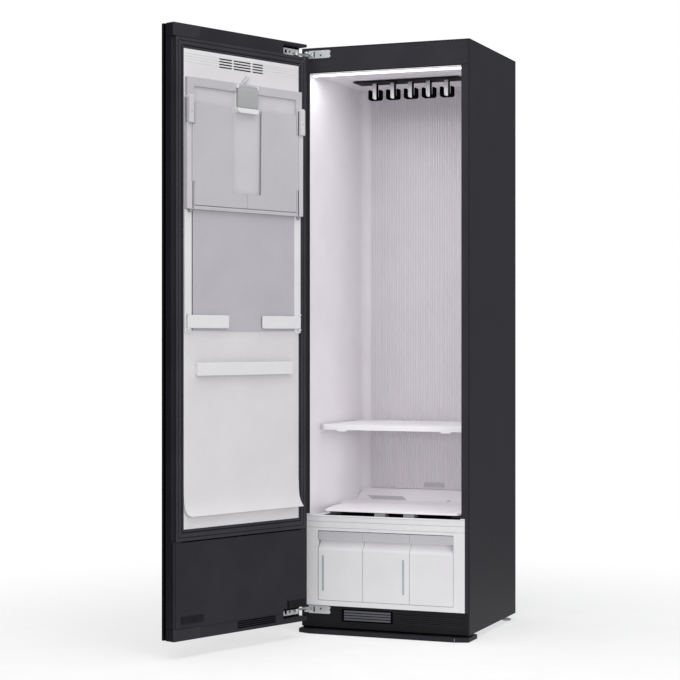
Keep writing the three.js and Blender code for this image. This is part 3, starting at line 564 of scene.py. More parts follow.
THREAD_PITCH = 1.25
foot_profile = [(0, 0), (14.6, 0), (16, 1.2), (16, 4.4), (14.8, 5.4), (8.6, 6.8), (7.6, 8.6), (0, 8.6)]
foot_nut = [(0, 8), (6.9, 8), (7, 13), (0, 13)]
thread = [(0, 12.8)]
for turn in range(7):
    thread += [(3.7, 12.9 + turn * THREAD_PITCH), (4.3, 13.5 + turn * THREAD_PITCH)]
thread += [(3.7, 21.7), (0, 21.7)]
for side, hand in reversed(SIDES):
    place = (side * 272, 500, 0)
    foot = Piece("rear_foot_" + hand + "_finished", grey_plastic)
    foot.lathe(foot_profile, place)
    foot.lathe(foot_nut, place, paint=nickel, steps=6)
    foot.lathe(thread, place, paint=nickel, steps=20)
    foot.done("cabinet", "grey_plastic", "rear_foot_" + hand)

# Front frame: toe kick with its grille and rows of dashes, top rail, stiles
kick = Piece("toe_kick_finished", black_kick)
DASH_LENGTH, DASH_LIMIT, DASH_PITCH, DASH_ROW = 13, 274, 18, 6.2
SLAT_PITCH = 8.8
dashes = []
for row in range(5):
    z = 49.5 + row * DASH_ROW
    odd = row % 2
    for x in [-166 + odd * 3, *(44 + i * DASH_PITCH + odd * 6 for i in range(13))]:
        end = min(x + DASH_LENGTH, DASH_LIMIT)
        dashes.append(rounded(x, end, z, z + 1.9, 0.5, 2))
        # Lighter rubber-black strip under each dash: painted highlight on its lower lip
        kick.box(x, end, -0.3, 0.5, z - 1.5, z - 0.2, 0.15, black_rubber)
grille = rounded(-151, 30, 43, 85, 2)
kick_outline = rounded(-FRONT_HALF, FRONT_HALF, 17.3, KICK_TOP - GAP, 1)
kick.prism(kick_outline, 0, 3, [grille, *dashes], rim=0.25)
# Near-black backing behind the dashes and near-black frame in the grille opening: painted shade
kick.box(-170, 275, 3.1, 3.6, 40, 88, 0, near_black_and_painted_shade)
kick.prism(grille, 0.6, 2.4, [rounded(-143, 22, 45.6, 82.6, 1)], rim=0.3, paint=near_black_and_painted_shade)
slat = ((0.3, 2.2), (0.5, 5.4), (2.6, 6.6), (2.9, 0.6), (1.4, 0))
# Slats in the lighter grey: painted highlight
for row in range(4):
    z = 47.6 + row * SLAT_PITCH
    kick.rings([[(x, y, z + dz) for y, dz in slat] for x in (-143, 22)], paint=painted_highlight_grey)
# Near-black band along the kick's foot: painted shadow
kick.box(-288, 289, -0.25, 0.6, 15.4, 21.6, 0.1, near_black_and_painted_shade)
kick.done("cabinet", "black_plastic", "toe_kick")

# The rail in the lighter black: painted light
rail = Piece("top_rail_finished", black_paint_painted_light)
rail_profile = [
    *arc(1.2, RAIL_FOOT + 1.2, 1.2, 180, 270, 3), (20, RAIL_FOOT), (20, RAIL_FOOT + SHEET),
    (SHEET, RAIL_FOOT + SHEET), (SHEET, ROOF - SHEET), (20, ROOF - SHEET), (20, ROOF),
    *arc(1.2, ROOF - 1.2, 1.2, 90, 180, 3),
]
rail.prism(rail_profile, -FRONT_HALF, FRONT_HALF, rim=0.3, plane="yz")
rail.prism(rounded(262, FRONT_HALF, 1878.6, ROOF, 1), -0.35, 1, rim=0.3)
rail.done("cabinet", "black_paint", "top_rail")

stile_outline = [
    (MOUTH_HALF + GAP, FASCIA_TOP + 0.6), (FASCIA_HALF + GAP, FASCIA_TOP + 0.6),
    (FASCIA_HALF + GAP, KICK_TOP), (FRONT_HALF, KICK_TOP),
    (FRONT_HALF, RAIL_FOOT - GAP), (MOUTH_HALF + GAP, RAIL_FOOT - GAP),
]
for side, hand in SIDES:
    # The stiles in the lighter black: painted light
    stile = Piece("stile_" + hand + "_finished", black_paint_painted_light)
    stile.prism(on_side(stile_outline, side), 0, 3, rim=0.7)
    stile.done("cabinet", "black_paint", "stile_" + hand)

# White cavity: walls with round rear corners, fluted back wall, ceiling, lamp, floor with a ramp
WALL_HALF, WALL_REAR, CORNER = 258, 484, 32
WALL_THICKNESS = 2.6
right_wall = [(MOUTH_HALF, 5.4), *arc(WALL_HALF - CORNER, WALL_REAR - CORNER, CORNER, 0, 90, 14)]
wall = right_wall + mirrored(right_wall)


def behind_wall(point):
    x, y, z = point
    outwards = math.copysign(WALL_THICKNESS, x) if abs(x) > 225 else 0
    return (x + outwards, y + (WALL_THICKNESS if y > 450 else 0), z)


liner = Piece("cavity_liner_finished", white_cavity)
liner.grid([[(x, y, z) for x, y in wall] for z in (391, 700, 1000, 1300, 1600, CEILING)], behind_wall)
flange = [(MOUTH_HALF, 5.4), (MOUTH_HALF, 4.2), (266.9, 3.3), (291, 3.3), (291, 6.3), (268, 6.3)]
ledge = [(250.6, 92), (265, 92), (258.6, 430), (250.6, 430), (250, 429.4), (250, 92.6)]
for side in (1, -1):
    liner.slab(on_side(flange, side), FASCIA_TOP + GAP, CEILING, rim=0.2)
    liner.slab(on_side(ledge, side), 668, 676.7, rim=1.4)
liner.done("cabinet", "white_plastic", "cavity_liner")

FLUTE_PITCH, FLUTE_COUNT, FLUTE_SWING = 9.0, 50, 0.9
flutes = Piece("fluted_wall_finished", white_back)
wave = []
half = FLUTE_PITCH * FLUTE_COUNT / 2
steps = FLUTE_COUNT * 8
for i in range(steps + 1):
    x = -half + 2 * half * i / steps
    wave.append((x, 478.6 - FLUTE_SWING * math.cos(2 * math.pi * (x + half) / FLUTE_PITCH)))
eased_ends = [(0.6, 452.6), (0, 455), (0, 1855), (0.6, 1857.4)]
flutes.rings([
    [*((x, y + ease, z) for x, y in wave), (half, 483.7, z), (-half, 483.7, z)] for ease, z in eased_ends
])
flutes.prism(rounded(-24, 50, 460, 475.5, 1.2), 476.9, 478.6, rim=0.3, paint=grey_strip)
flutes.done("cabinet", "white_plastic", "fluted_back_wall", angle=60, flat=False)

ceiling = Piece("cavity_ceiling_finished", white_cavity)
drive_slot = rounded(-48, 48, 234, 266, 4)
ceiling_outline = rectangle(-270, 270, 3.3, 487)
ceiling.slab(ceiling_outline, CEILING + GAP, CEILING + GAP + 3, [drive_slot], rim=0.3)
ceiling.done("cabinet", "white_plastic", "cavity_ceiling")

light = Piece("light_bar_finished", lens)
LENS_MIDDLE, LENS_ROOT = 24, 1871.6
lens_profile = [
    (11, LENS_ROOT), (11.4, 1868.6), (13, 1866.6), (17, 1865.2), (24, 1865.2), (30, 1866.8), (34, 1869),
    (35.4, LENS_ROOT),
]
lens_ends = ((-261, 0.5), (-259.4, 0.12), (-257, 0), (255, 0), (257.4, 0.12), (259, 0.5))
light.rings([
    [(x, y + (LENS_MIDDLE - y) * drawn_in, z + (LENS_ROOT - z) * drawn_in) for y, z in lens_profile]
    for x, drawn_in in lens_ends
])
light.slab(rounded(-263, 261, 9, 48, 4), 1870.6, CEILING, rim=0.4, paint=white_front)
light.done("cabinet", "light_lens", "light_bar")

pan_profile = [
    (14.8, 389.4), (15.4, 390), (270, 390), (276, 391.2), (279.4, 395), (280, 401), (281.6, 409),
    (286, 412.6), (292, 413), (406, 413), (414, 414.4), (424, 418.6), (440, 427.6), (470, 444.6),
    (478, 449.4), (481.6, 451.3),
]
right_columns = [(0.3, 0), (0.6, 0), (0.92, 0), (0.955, 0.3), (0.98, 1.2), (1, 3.4)]
columns = [*mirrored(right_columns), (0, 0), *right_columns]
PAN_GAP = 0.6
pan_rows = []
for y, z in pan_profile:
    half = MOUTH_HALF - 8 * (y - 3.3) / 449 - PAN_GAP
    if y > WALL_REAR - CORNER:
        deep = y - (WALL_REAR - CORNER)
        half = WALL_HALF - CORNER + math.sqrt(max(CORNER ** 2 - deep ** 2, 0)) - PAN_GAP
    pan_rows.append([(half * share, y, z + lift) for share, lift in columns])
floor_pan = Piece("cavity_floor_finished", white_cavity)
# The sunk floor under the plate is painted dull black: painted shade
floor_pan.grid(
    pan_rows, lambda p: (p[0], p[1], p[2] - 5.5),
    dark=lambda c: c[2] < 400 and abs(c[0]) < 236 and c[1] < 276, shade=dull_black_and_painted_shade,
)
ramp_plate = [(-223, 436.6), (-92, 436.6), (-70, 417.6), (-196, 417.6)]
RAMP_SLOPE = 0.55
floor_pan.rings([
    [(x, y, 414.4 + (y - 414) * RAMP_SLOPE + lift) for x, y in ramp_plate] for lift in (0, 0.9)
], paint=grey_strip)
floor_pan.box(80, 93, 417, 421, 417, 419.6, 0.3, grey_strip)
floor_pan.done("cabinet", "white_plastic", "cavity_floor", angle=50, flat=False)

# White front below the cavity, with the bay for the three pull-out units
fascia = Piece("lower_fascia_finished", white_front)
bay = rounded(-237.2, 239.3, 110.2, 343.4, 2, 4)
fascia.prism(rounded(-FASCIA_HALF, FASCIA_HALF, KICK_TOP, 353.1, 1), 0, 12, [bay], rim=0.8)
fascia.prism(rectangle(-FASCIA_HALF, FASCIA_HALF, 354.5, 373.2), 0, 12, rim=0.7)
fascia.prism(rectangle(1 - FASCIA_HALF, FASCIA_HALF - 1, 350, 390), 2.4, 11, rim=0.2)
gutter_crests = (
    (-FASCIA_HALF, 399.2), (-277, 399.8), (-270, FASCIA_TOP), (-264, 399.4), (-252, 396.6), (-244, 396),
    (262, 396), (263, 399.2), (264.5, FASCIA_TOP), (277, FASCIA_TOP), (FASCIA_HALF, 399.4),
)
fascia.rings([
    [(x, y, z) for y, z in (
        (0.9, 374.3), (0, 375.2), (0, crest - 7.2), (0.3, crest - 6.8), (1.7, crest - 6.5),
        (1.7, crest - 5.4), (0.2, crest - 5.1), (0, crest - 4.6), (0, crest - 3), (0.5, crest - 1.3),
        (2, crest - 0.3), (4, crest), (8, crest - 0.4), (12, crest - 1.4), (12, 374.3),
    )]
    for x, crest in gutter_crests
])
# Near-black strips along the bay's edges: painted shade in the gaps round the units
for x0, x1, z0, z1 in ((-236, 239, 341.4, 344.4), (-236, 239, 109, 111.1), (238.5, 240.4, 110, 343.6)):
    fascia.box(x0, x1, 2.2, 11, z0, z1, 0, near_black_and_painted_shade)
fascia.done("cabinet", "white_plastic", "lower_fascia")
dress("tank_bay", "cabinet", 0.5, grey_plastic)

# Each unit's name, its two sides, the gap on its left, and its level window: x, bottom and top
UNITS = [
    ("water_tank", -235.5, -77.7, 1.4, (-218.7, 141, 262)),
    ("drain_tank", -76.7, 86.8, 0.85, (66, 141, 258)),
    ("side_drawer", 87.8, 238.3, 0.85, None),
]
UNIT_EDGE = 0.5
MOUTH_RADIUS = 32
unit_profile = [
    (0, 112.3), (0.8, 111.3), (22, 111.3), (22, 341.2), (2.2, 341.2), (1.5, 340.4), (0.2, 314.9),
    (0.5, 314.2), (4, 313.8), (15.6, 313.4), (18.4, 312.4), (19.3, 309.6), (19.1, 305), (18, 301.6),
    (15.6, 298.2), (12, 294.4), (8, 290.2), (4.4, 286.4), (2, 283.6), (0.8, 281.4), (0.2, 279), (0, 276.4),
]
scoop_and_front = unit_profile[7:]
gap_profile = [(1.3, 112), (21.2, 112), (21.2, 341), (3, 341), *((y + 0.9, z) for y, z in scoop_and_front)]
strip_profile = ((1.1, 340.4), (-0.1, 315.2), (0.6, 315.0), (2.2, 340.6))
collar_profile = [
    (MOUTH_RADIUS, 323.8), (MOUTH_RADIUS, 327.6), (33, 328.4), (34.6, 328.2), (35.2, 326), (35.2, 323.8),
]
for name, x0, x1, gap, level in UNITS:
    unit = Piece(name + "_finished", white_front)
    sections = []
    for x, squeeze in (
        (x0, UNIT_EDGE), (x0 + 0.35, 0.15), (x0 + UNIT_EDGE, 0),
        (x1 - UNIT_EDGE, 0), (x1 - 0.35, 0.15), (x1, UNIT_EDGE),
    ):
        sections.append([(x, min(y + squeeze, 22), z) for y, z in unit_profile])
    unit.rings(sections)
    # Near-black filler in the gap on the unit's left: painted shade in the seam
    unit.rings([[(x, y, z) for y, z in gap_profile] for x in (x0 - gap, x0 + 0.1)], paint=near_black_and_painted_shade)
    unit.rings([[(x, y, z) for y, z in strip_profile] for x in (x0 + 0.6, x1 - 0.6)], paint=grey_strip)
    if level:
        window_x, z0, z1 = level
        slit = rounded(window_x - 3.6, window_x + 3.6, z0, z1, 3.4, 6)
        unit.prism(slit, -0.35, 1, rim=0.3, paint=window)
    tub_paint = grey_plastic if level else None
    tub = rounded(x0 + 1, x1 - 1, 21, 246, 6)
    hollow = rounded(x0 + 3.5, x1 - 3.5, 25, 243.5, 5)
    unit.slab(tub, 113, 326, [hollow], rim=0.8, paint=tub_paint)
    unit.slab(tub, 111.4, 114, rim=0.8, paint=tub_paint)
    if level:
        middle = (x0 + x1) / 2
        mouth = arc(middle, 140, MOUTH_RADIUS, 0, 352, 44)
        unit.slab(tub, 323.6, 326, [mouth], rim=0.6, paint=tub_paint)
        unit.lathe(collar_profile, (middle, 140, 0), steps=44)
    unit.done(name, "white_plastic", name)

# Hanger drive, moving bar and double hooks
dress("hanger_track", "cabinet", 0.4, steel)
dress("hanger_motor", "cabinet", 0.8, nickel)
dress("hanger_crank", "hanger_crank", 0.5, grey_plastic)
HOOK_PITCH, FIRST_HOOK = 65, -127
hooks = Piece("hanger_bar_finished", dull_black_and_painted_shade)
hook_plate = [(-192, 296), (-192, 209), (-188, 205), (188, 205), (192, 209), (192, 296)]
crank_slot = rectangle(-5.2, 5.2, 235, 259)
hooks.slab(hook_plate, 1866.5, 1869.6, rim=0.6)
hooks.box(-30, 30, 238, 262, 1868.6, 1881, rim=1)
hooks.slab(rounded(-70, 70, 211, 289, 4), 1879.5, 1886.5, [crank_slot], rim=0.5)
half_hook = [
    (6.6, 1866.8), (6.6, 1822), *arc(10.7, 1821.6, 3.9, 180, 270, 4)[1:],
    *arc(10.9, 1821.6, 3.9, 270, 360, 4), (14.8, 1842), (15.6, 1844.4), (17.6, 1845),
    *arc(18.5, 1840, 5, 90, 0, 4), *arc(15.5, 1817, 8, 0, -90, 5),
]
strip_outline = [(-6.8, 1866.6), (-6.8, 1819), (-5, 1814), (4, 1810.4), (6.8, 1812.6), (6.8, 1866.6)]
for i in range(5):
    x = FIRST_HOOK + i * HOOK_PITCH
    stem = [(x - u, z) for u, z in half_hook] + [(x + u, z) for u, z in reversed(half_hook)]
    hooks.prism(stem, 248.2, 271, rim=1.4, paint=near_black_and_painted_shade)
    hooks.prism([(x + u, z) for u, z in strip_outline], 246.4, 249.4, rim=0.9, paint=brushed)
    hooks.prism(rectangle(x - 2.2, x + 2.2, 1816, 1866.4), 245.9, 247, rim=0.4, paint=brushed)
hooks.done("hanger_bar", "black_plastic", "hanger_bar")

# Shelf, raised floor plate and lint filter
# The shelf in the brighter white: painted light
shelf = Piece("shelf_finished", white_plate_painted_light)
shelf_outline = rounded(-253, 253, 68, 452, 16, 8)
shelf.slab(shelf_outline, 690.4, 695, rim=1.6)
shelf.slab(shelf_outline, 677, 693, [rounded(-247, 247, 74, 446, 10, 8)], rim=1.6)
for x, flat in ((-178, 12.5), (190, 15.5)):
    right_half = [(flat, 672.2), (17, 674.4), (19, 677.6), (22, 679), (22, 681)]
    tab = [(x + u, z) for u, z in mirrored(right_half) + right_half]
    shelf.prism(tab, 68.4, 76, rim=0.9)
for x in range(-200, 201, 50):
    shelf.box(x - 1.2, x + 1.2, 76, 444, 683, 691, 0.5)
shelf.done("shelf", "white_plastic", "shelf")

# The floor plate in the brighter white: painted light
plate = Piece("floor_plate_finished", white_plate_painted_light)
plate_outline = [
    *arc(238, 28, 12, -90, 0, 8), *arc(247, 276, 3, 0, 90, 3), *arc(-247, 276, 3, 90, 180, 3), (-250, 175),
    (-249, 164), (-223.6, 38), (-223, 32), (-221.4, 25), (-218, 20), (-213, 17), (-207, 16),
]
plate.slab(plate_outline, 407, 413, rim=1.3)
for x in (-217, -53, 53, 217):
    plate.slab(rounded(x - 19, x + 19, 105, 135, 3), 390.3, 408, rim=0.6, paint=grey_plastic)
for x in (-24, 78):
    plate.box(x - 19, x + 19, 20, 60, 394, 408, 0.6, grey_plastic)
plate.done("floor_plate", "white_plastic", "floor_plate")

WIRE = 0.35
lint = Piece("lint_filter_finished", grey_plastic)
lint_inside = rounded(-150, 150, 158, 254, 3)
lint.slab(rounded(-160, 160, 148, 264, 6), 394, 406.7, [lint_inside], rim=0.7)
for x in range(-140, 141, 10):
    lint.box(x - WIRE, x + WIRE, 157, 255, 396.2, 396.9, 0, nickel)
for i in range(1, 10):
    y = 158 + i * 9.6
    lint.box(-151, 151, y - WIRE, y + WIRE, 396.7, 397.4, 0, nickel)
lint.done("floor_plate", "grey_plastic", "lint_filter")

# Machinery behind and under the bay
for name, slot, width, material in (
    ("compressor", "compressor_iron", 2.0, iron), ("heat_exchanger", "fin_aluminium", 0.3, aluminium),
    ("blower_housing", "black_plastic", 1.0, dull_black_and_painted_shade), ("steam_generator", "sheet_steel", 1.5, steel),
    ("water_pump", "black_plastic", 1.2, dull_black_and_painted_shade), ("control_box", "grey_plastic", 1.2, grey_plastic),
):
    dress(name, "cabinet", width, material)
dress("blower_fan", "blower_fan", 0.4, grey_plastic)

# Concealed hinges
for end in ("top", "bottom"):
    dress("hinge_plate_" + end, "cabinet", 0.35, nickel)
    dress("hinge_link_body_" + end, "hinge_body_links", 0.5, nickel)
    dress("hinge_link_door_" + end, "hinge_door_links", 0.5, nickel)
    # The arms in near-white nickel: painted reflection of chrome
    dress("hinge_arm_" + end, "door", 0.35, nickel_painted_reflection)

# Door shell: front panel with its inner face and free edge painted near black as shade, core, frame, seal
# and lower cover
panel = Piece("door_front_panel_finished", black_paint)
panel.prism(rounded(0, DOOR_WIDTH, DOOR_FOOT, ROOF, 2.4), DOOR_FACE, -43.5, rim=1.4)
# Inner face and free edge painted near black: painted shade
panel.repaint(lambda face: face.normal.y > 0.5 or face.normal.x > 0.95, near_black_and_painted_shade)
panel.done("door", "black_paint", "door_front_panel", matrix=DOOR)
# The core is painted near black: painted shade behind the panel's edge
core = Piece("door_core_finished", near_black_and_painted_shade)
core_inset = 12
core.prism(
    rounded(core_inset, DOOR_WIDTH - core_inset, DOOR_FOOT + core_inset, ROOF - core_inset, 2),
    -49.7, -34.3, rim=0.6,
)
for z0, z1 in ((62, 110), (1906, 1950)):
    core.box(1, 13, -43.4, -34.4, z0, z1, 0.4)
core.done("door", "black_plastic", "door_core", matrix=DOOR)

# The frame has a notch for each hinge, and its face is cut back along the free edge for the seal
frame_foot = [
    (0, LOW_NOTCH[1]), (NOTCH_DEPTH, LOW_NOTCH[1]), (NOTCH_DEPTH, LOW_NOTCH[0]), (0, LOW_NOTCH[0]),
    *arc(2, DOOR_FOOT + 2, 2, 180, 270, 3), *arc(DOOR_WIDTH - 3, DOOR_FOOT + 3, 3, -90, 0, 4),
]
frame_head = [
    *arc(DOOR_WIDTH - 3, ROOF - 3, 3, 0, 90, 4), *arc(2, ROOF - 2, 2, 90, 180, 3),
    (0, HIGH_NOTCH[1]), (NOTCH_DEPTH, HIGH_NOTCH[1]), (NOTCH_DEPTH, HIGH_NOTCH[0]), (0, HIGH_NOTCH[0]),
]
cut_back = [
    (DOOR_WIDTH, COVER_TOP), (SEAL_EDGE, COVER_TOP), (SEAL_EDGE, HIGH_NOTCH[0]), (DOOR_WIDTH, HIGH_NOTCH[0]),
]
VENT_PITCH = 6.4
vents = [rounded(146, 321, 65.2 + row * VENT_PITCH, 69.3 + row * VENT_PITCH, 1.2, 3) for row in range(4)]
inside = rectangle(30, 560, 112, 1890)
door_frame = Piece("door_frame_finished", black_frame)
door_frame.prism(frame_foot + frame_head, -34, -7.6, [inside], rim=0.9)
door_frame.prism(frame_foot + cut_back + frame_head, -8.4, 0, [inside, *vents], rim=0.7)
for z0, z1, seam in ((1914.4, 1955.8, 1913.2), (55.2, 92.2, 93.2)):
    # End plates in the lighter black: painted light
    door_frame.prism(rounded(482, 597.5, z0, z1, 2), -33.6, 0.9, rim=0.4, paint=black_paint_painted_light)
    # Near-black strips at the end plates' seams: painted shade in the gaps
    door_frame.box(481, 482.4, -2, 0.15, min(seam, z0), max(seam, z1) - 0.4, 0, near_black_and_painted_shade)
    edge = z1 if seam > z1 else z0
    door_frame.box(481, 597.7, -33, 0.15, min(seam, edge), max(seam, edge), 0, near_black_and_painted_shade)
# Near-black sheets inside the frame and behind its vents: painted shade
door_frame.box(20, 580, -33.9, -33, 100, 1900, 0, near_black_and_painted_shade)
door_frame.box(144, 323, -8, -7.2, 63, 92.5, 0, near_black_and_painted_shade)
# The frame's free edge in the darker black: painted shade
door_frame.repaint(
    lambda face: face.normal.x > 0.9 and face.calc_center_median().x > 590 and face.material_index == 0,
    painted_shade_edge_black,
)
door_frame.done("door", "black_plastic", "door_frame", matrix=DOOR)

# The seal's ribs: share of the way from its outer to its inner edge, and height
seal = Piece("door_seal_finished", black_rubber)
outer_edge = (9.4, SEAL_EDGE - GAP, COVER_TOP + GAP, HIGH_NOTCH[0] - 0.5)
inner_edge = (42, 555.6, 397, 1880)
ribs = [
    (0, 0.3), (0, 3.2), (0.03, 4.0), (0.07, 4.4), (0.2, 4.4), (0.25, 4.0), (0.28, 3.0), (0.31, 2.7),
    (0.34, 3.0), (0.38, 3.9), (0.45, 4.4), (0.58, 4.4), (0.65, 3.9), (0.69, 3.0), (0.72, 2.6), (0.75, 2.8),
    (0.8, 3.3), (0.9, 3.3), (0.97, 3.0), (1, 2.4), (1, 0.3),
]
seal_rings = []
for t, n in ribs:
    a0, a1, z0, z1 = (o + (i - o) * t for o, i in zip(outer_edge, inner_edge))
    seal_rings.append([(a0, n, z0), (a1, n, z0), (a1, n, z1), (a0, n, z1)])
seal.rings(seal_rings, closed=True)
# The seal's valleys and low sides in the darker black: painted shade
seal.repaint(lambda face: face.calc_center_median().y < 3.05, painted_shade_edge_black)
# Mitre lines in the lighter grey: painted highlight
for a_outer, a_inner in zip(outer_edge[:2], inner_edge[:2]):
    drop = inner_edge[3] - outer_edge[3]
    mitre = [(a_outer + (a_inner - a_outer) * t, 4.1, outer_edge[3] + drop * t) for t in (0.06, 0.5, 0.96)]
    seal.tube(mitre, 0.55, painted_highlight_grey, 6)
seal.done("door", "black_rubber", "door_seal", matrix=DOOR, angle=30)

cover = Piece("door_lower_cover_finished", black_frame)
cover_outline = [
    (113, 93.5), *arc(587.7, 94.5, 1, -90, 0, 2), *arc(587.7, 356.2, 1, 0, 90, 2), (9.4, 357.2), (9.4, 104),
    (112, 104), (112, 94.5),
]
pockets = [rectangle(562.4, 569.5, 105, 130), rectangle(88.4, 95, 105, 130)]
cover.prism(cover_outline, 0.3, 2.3, pockets, rim=0.5)
for a0, a1 in ((472, 562), (12, 88)):
    notch = rounded(a0 + 34, a0 + 50, 111, 124, 1)
    cover.prism(rounded(a0, a1, 106, 129, 1.5), 1, 4.2, [notch], rim=0.6, paint=black_kick)
    cover.box(a0 + 35.5, a0 + 48.5, 2, 3.9, 112.5, 122.5, 0.3, black_kick)
# Near-black sheet behind the cover, seen through its pockets: painted shade
cover.box(40, 560, -2, 0.2, 98, 352, 0, near_black_and_painted_shade)
cover.done("door", "black_plastic", "door_lower_cover", matrix=DOOR)

# Door liner: thin grooves, vent, soft recess below the board, and the flared drip lip
LINER_NEAR, LINER_FREE, LINER_LOW, LINER_HIGH = 42.3, 555.3, 397.3, 1879.7
groove_rows = (1863.3, 1854.8, 1846.2, 1837.6)
vent_sections = ((208.1, 256.2), (263.9, 340.3), (347.3, 403.8))
liner_a = {LINER_NEAR + d for d in (0, 0.5, 1.5)} | {LINER_FREE - d for d in (0, 0.5, 1.5)}
liner_a |= {a for a0, a1 in vent_sections for a in (a0, a0 + 0.4, a1 - 0.4, a1)}
liner_a |= {100 + i * 5 for i in range(17)} | {420 + i * 5 for i in range(17)}
liner_a |= {70 + i * 20 for i in range(24)}
liner_z = {LINER_LOW + d for d in (0, 0.5, 1.5)} | {LINER_HIGH - d for d in (0, 0.5, 1.5)}
liner_z |= {z + d for z in groove_rows for d in (-2.2, -1.8, -1.1, 0, 1.1, 1.8, 2.2)}
liner_z |= {420 + i * 20 for i in range(70)}


def in_vent(a, z):
    in_row = any(z0 - 1.9 < z < z0 + 1.9 for z0 in groove_rows)
    return in_row and any(a0 + 0.3 < a < a1 - 0.3 for a0, a1 in vent_sections)


def liner_height(a, z):
    if in_vent(a, z):
        return 0.9
    height = 3.0
    for z0 in groove_rows:
        height -= 0.9 * max(0, 1 - abs(z - z0) / 1.1)
    recess = smooth_step(a, 100, 180) * (1 - smooth_step(a, 420, 500))
    height -= 2.0 * recess * smooth_step(z, 590, 700) * (1 - smooth_step(z, 1003, 1010))
    border = min(a - LINER_NEAR, LINER_FREE - a, z - LINER_LOW, LINER_HIGH - z)
    return height - 0.9 * (1 - min(border / 1.5, 1)) ** 2


rows = [[(a, liner_height(a, z), z) for a in sorted(liner_a)] for z in sorted(liner_z)]
door_liner = Piece("door_liner_finished", white_liner)
# Vent pockets with near-black bottoms: painted shade
door_liner.grid(
    rows, lambda p: (p[0], 0.3, p[2]), dark=lambda c: c[1] < 1.2 and c[2] > 1830, shade=near_black_and_painted_shade
)
LIP_CORNER, LIP_CORNER_Z = 18, 455
lip_profile = [
    (3.0, 522), (3.2, 506), (3.7, 493), (4.8, 481), (6.6, 471), (9.2, 462), (12.4, 454.4), (15.8, 447.8),
    (19.4, 442), (22.8, 437),
]
lip_rows = []
for n, z in lip_profile:
    free = LINER_FREE
    if z < LIP_CORNER_Z:
        free = LINER_FREE - LIP_CORNER + math.sqrt(max(LIP_CORNER ** 2 - (LIP_CORNER_Z - z) ** 2, 0))
    near = LINER_NEAR - max(0, (n - 10) * 0.25)
    lip_rows.append([(near + (free - near) * t / 40, n, z) for t in range(41)])
door_liner.grid(lip_rows, lambda p: (p[0], p[1] - (1.0 if p[2] > 500 else 1.8), p[2] - 0.8))
door_liner.done("door", "white_plastic", "door_liner", matrix=DOOR, angle=50, flat=False)

# Trouser press on the door, drawn about its own middle line
MIDDLE = 295.6


def across(side, near, far):
    """The two a values that lie near and far from the middle line on one side, in order."""
    return sorted((MIDDLE + side * near, MIDDLE + side * far))


press = Piece("press_frame_finished", grey_press)
PRESS_FOOT, PRESS_HEAD, POST_HEAD = 1385, 1793, 1731
low_a, high_a = MIDDLE - 256, MIDDLE + 256
press.prism(rounded(low_a, high_a, PRESS_FOOT, PRESS_HEAD, 3), 3.3, 5.3, rim=0.5)
rail_outline = [
    *arc(low_a + 3, PRESS_HEAD - 3, 3, 90, 180, 4), (low_a, POST_HEAD), (low_a + 28, POST_HEAD),
    *arc(low_a + 33, 1760, 5, 180, 90, 5), *arc(high_a - 33, 1760, 5, 90, 0, 5),
    (high_a - 28, POST_HEAD), (high_a, POST_HEAD), *arc(high_a - 3, PRESS_HEAD - 3, 3, 0, 90, 4),
]
press.prism(list(reversed(rail_outline)), 3.8, 15, rim=1.2)
press.prism(rounded(low_a + 20, high_a - 20, 1390, 1770, 3), 4.8, 8.6, rim=0.8, paint=pale_press)
press.box(MIDDLE - 255, MIDDLE + 255, 4, 16, PRESS_FOOT, 1396.5, 1.4, pale_press)
press.box(MIDDLE - 249, MIDDLE + 249, 15.2, 16.6, 1388.6, 1391.4, 0.5)
for side in (-1, 1):
    press.box(*across(side, 239.6, 259), 4, 18.3, PRESS_FOOT, POST_HEAD + 1, 1.8, pale_press, 3)
    # Near-black strip between the post and the leaf's barrel: painted shade in the gap
    press.box(*across(side, 238.2, 239.7), 9, 14, 1471, 1647, 0, near_black_and_painted_shade)
    for z0, z1 in ((1649, POST_HEAD), (PRESS_FOOT + 1, 1469)):
        press.box(*across(side, 228.5, 242), 4, 18.2, z0, z1, 0.7)
    a0, a1 = across(side, 237.6, 259)
    bracket = [
        (a0, 1650), (a1, 1650), (a1, 1726), *arc(a1 - 9, 1727, 9, 0, 90, 6),
        *arc(a0 + 7, 1729, 7, 90, 180, 5),
    ]
    press.prism(bracket, 4, 28, rim=2.4, paint=pale_press)
    stud = [(2.4, 27.6), (2.4, 28.3), (1.4, 28.5), (0, 28.5)]
    press.lathe(stud, (MIDDLE + side * 248.5, 0, 1686), "y", grey_plastic, 16)
    # Near-black strips beside the brackets and lower pads: painted shade in the gaps
    for z0, z1 in ((1650, 1728), (1388, 1468)):
        press.box(*across(side, 234.2, 237.4), 17.4, 18.5, z0, z1, 0, near_black_and_painted_shade)
    press.box(*across(side, 238, 246), 6, 16, 1375, 1386, 1.2, grey_plastic)
# Near-black strip between the two leaves: painted shade in the gap
press.box(MIDDLE - 0.8, MIDDLE + 0.8, 8, 14, 1399, 1443, 0, near_black_and_painted_shade)

# The clip's housing, and the cord loop above it
press.box(MIDDLE - 46, MIDDLE + 46, 4, 13, 1699.5, 1789, 1.6, white_press)
clip_foot = [
    *arc(MIDDLE - 40, 1705.5, 6, 180, 270, 5), *arc(MIDDLE + 34, 1711.5, 12, 270, 360, 7),
    (MIDDLE + 46, 1715.4), (MIDDLE - 46, 1715.4),
]
press.prism(clip_foot, 12, 24, rim=1.2, paint=white_press)
for side in (-1, 1):
    press.box(*across(side, 41, 46), 12, 24, 1777, 1789, 1.6, white_press)
loop = ((12, 4, 1793.5), (10, 11, 1797), (1, 14, 1805), (-8, 12, 1813), (-12, 4, 1817))
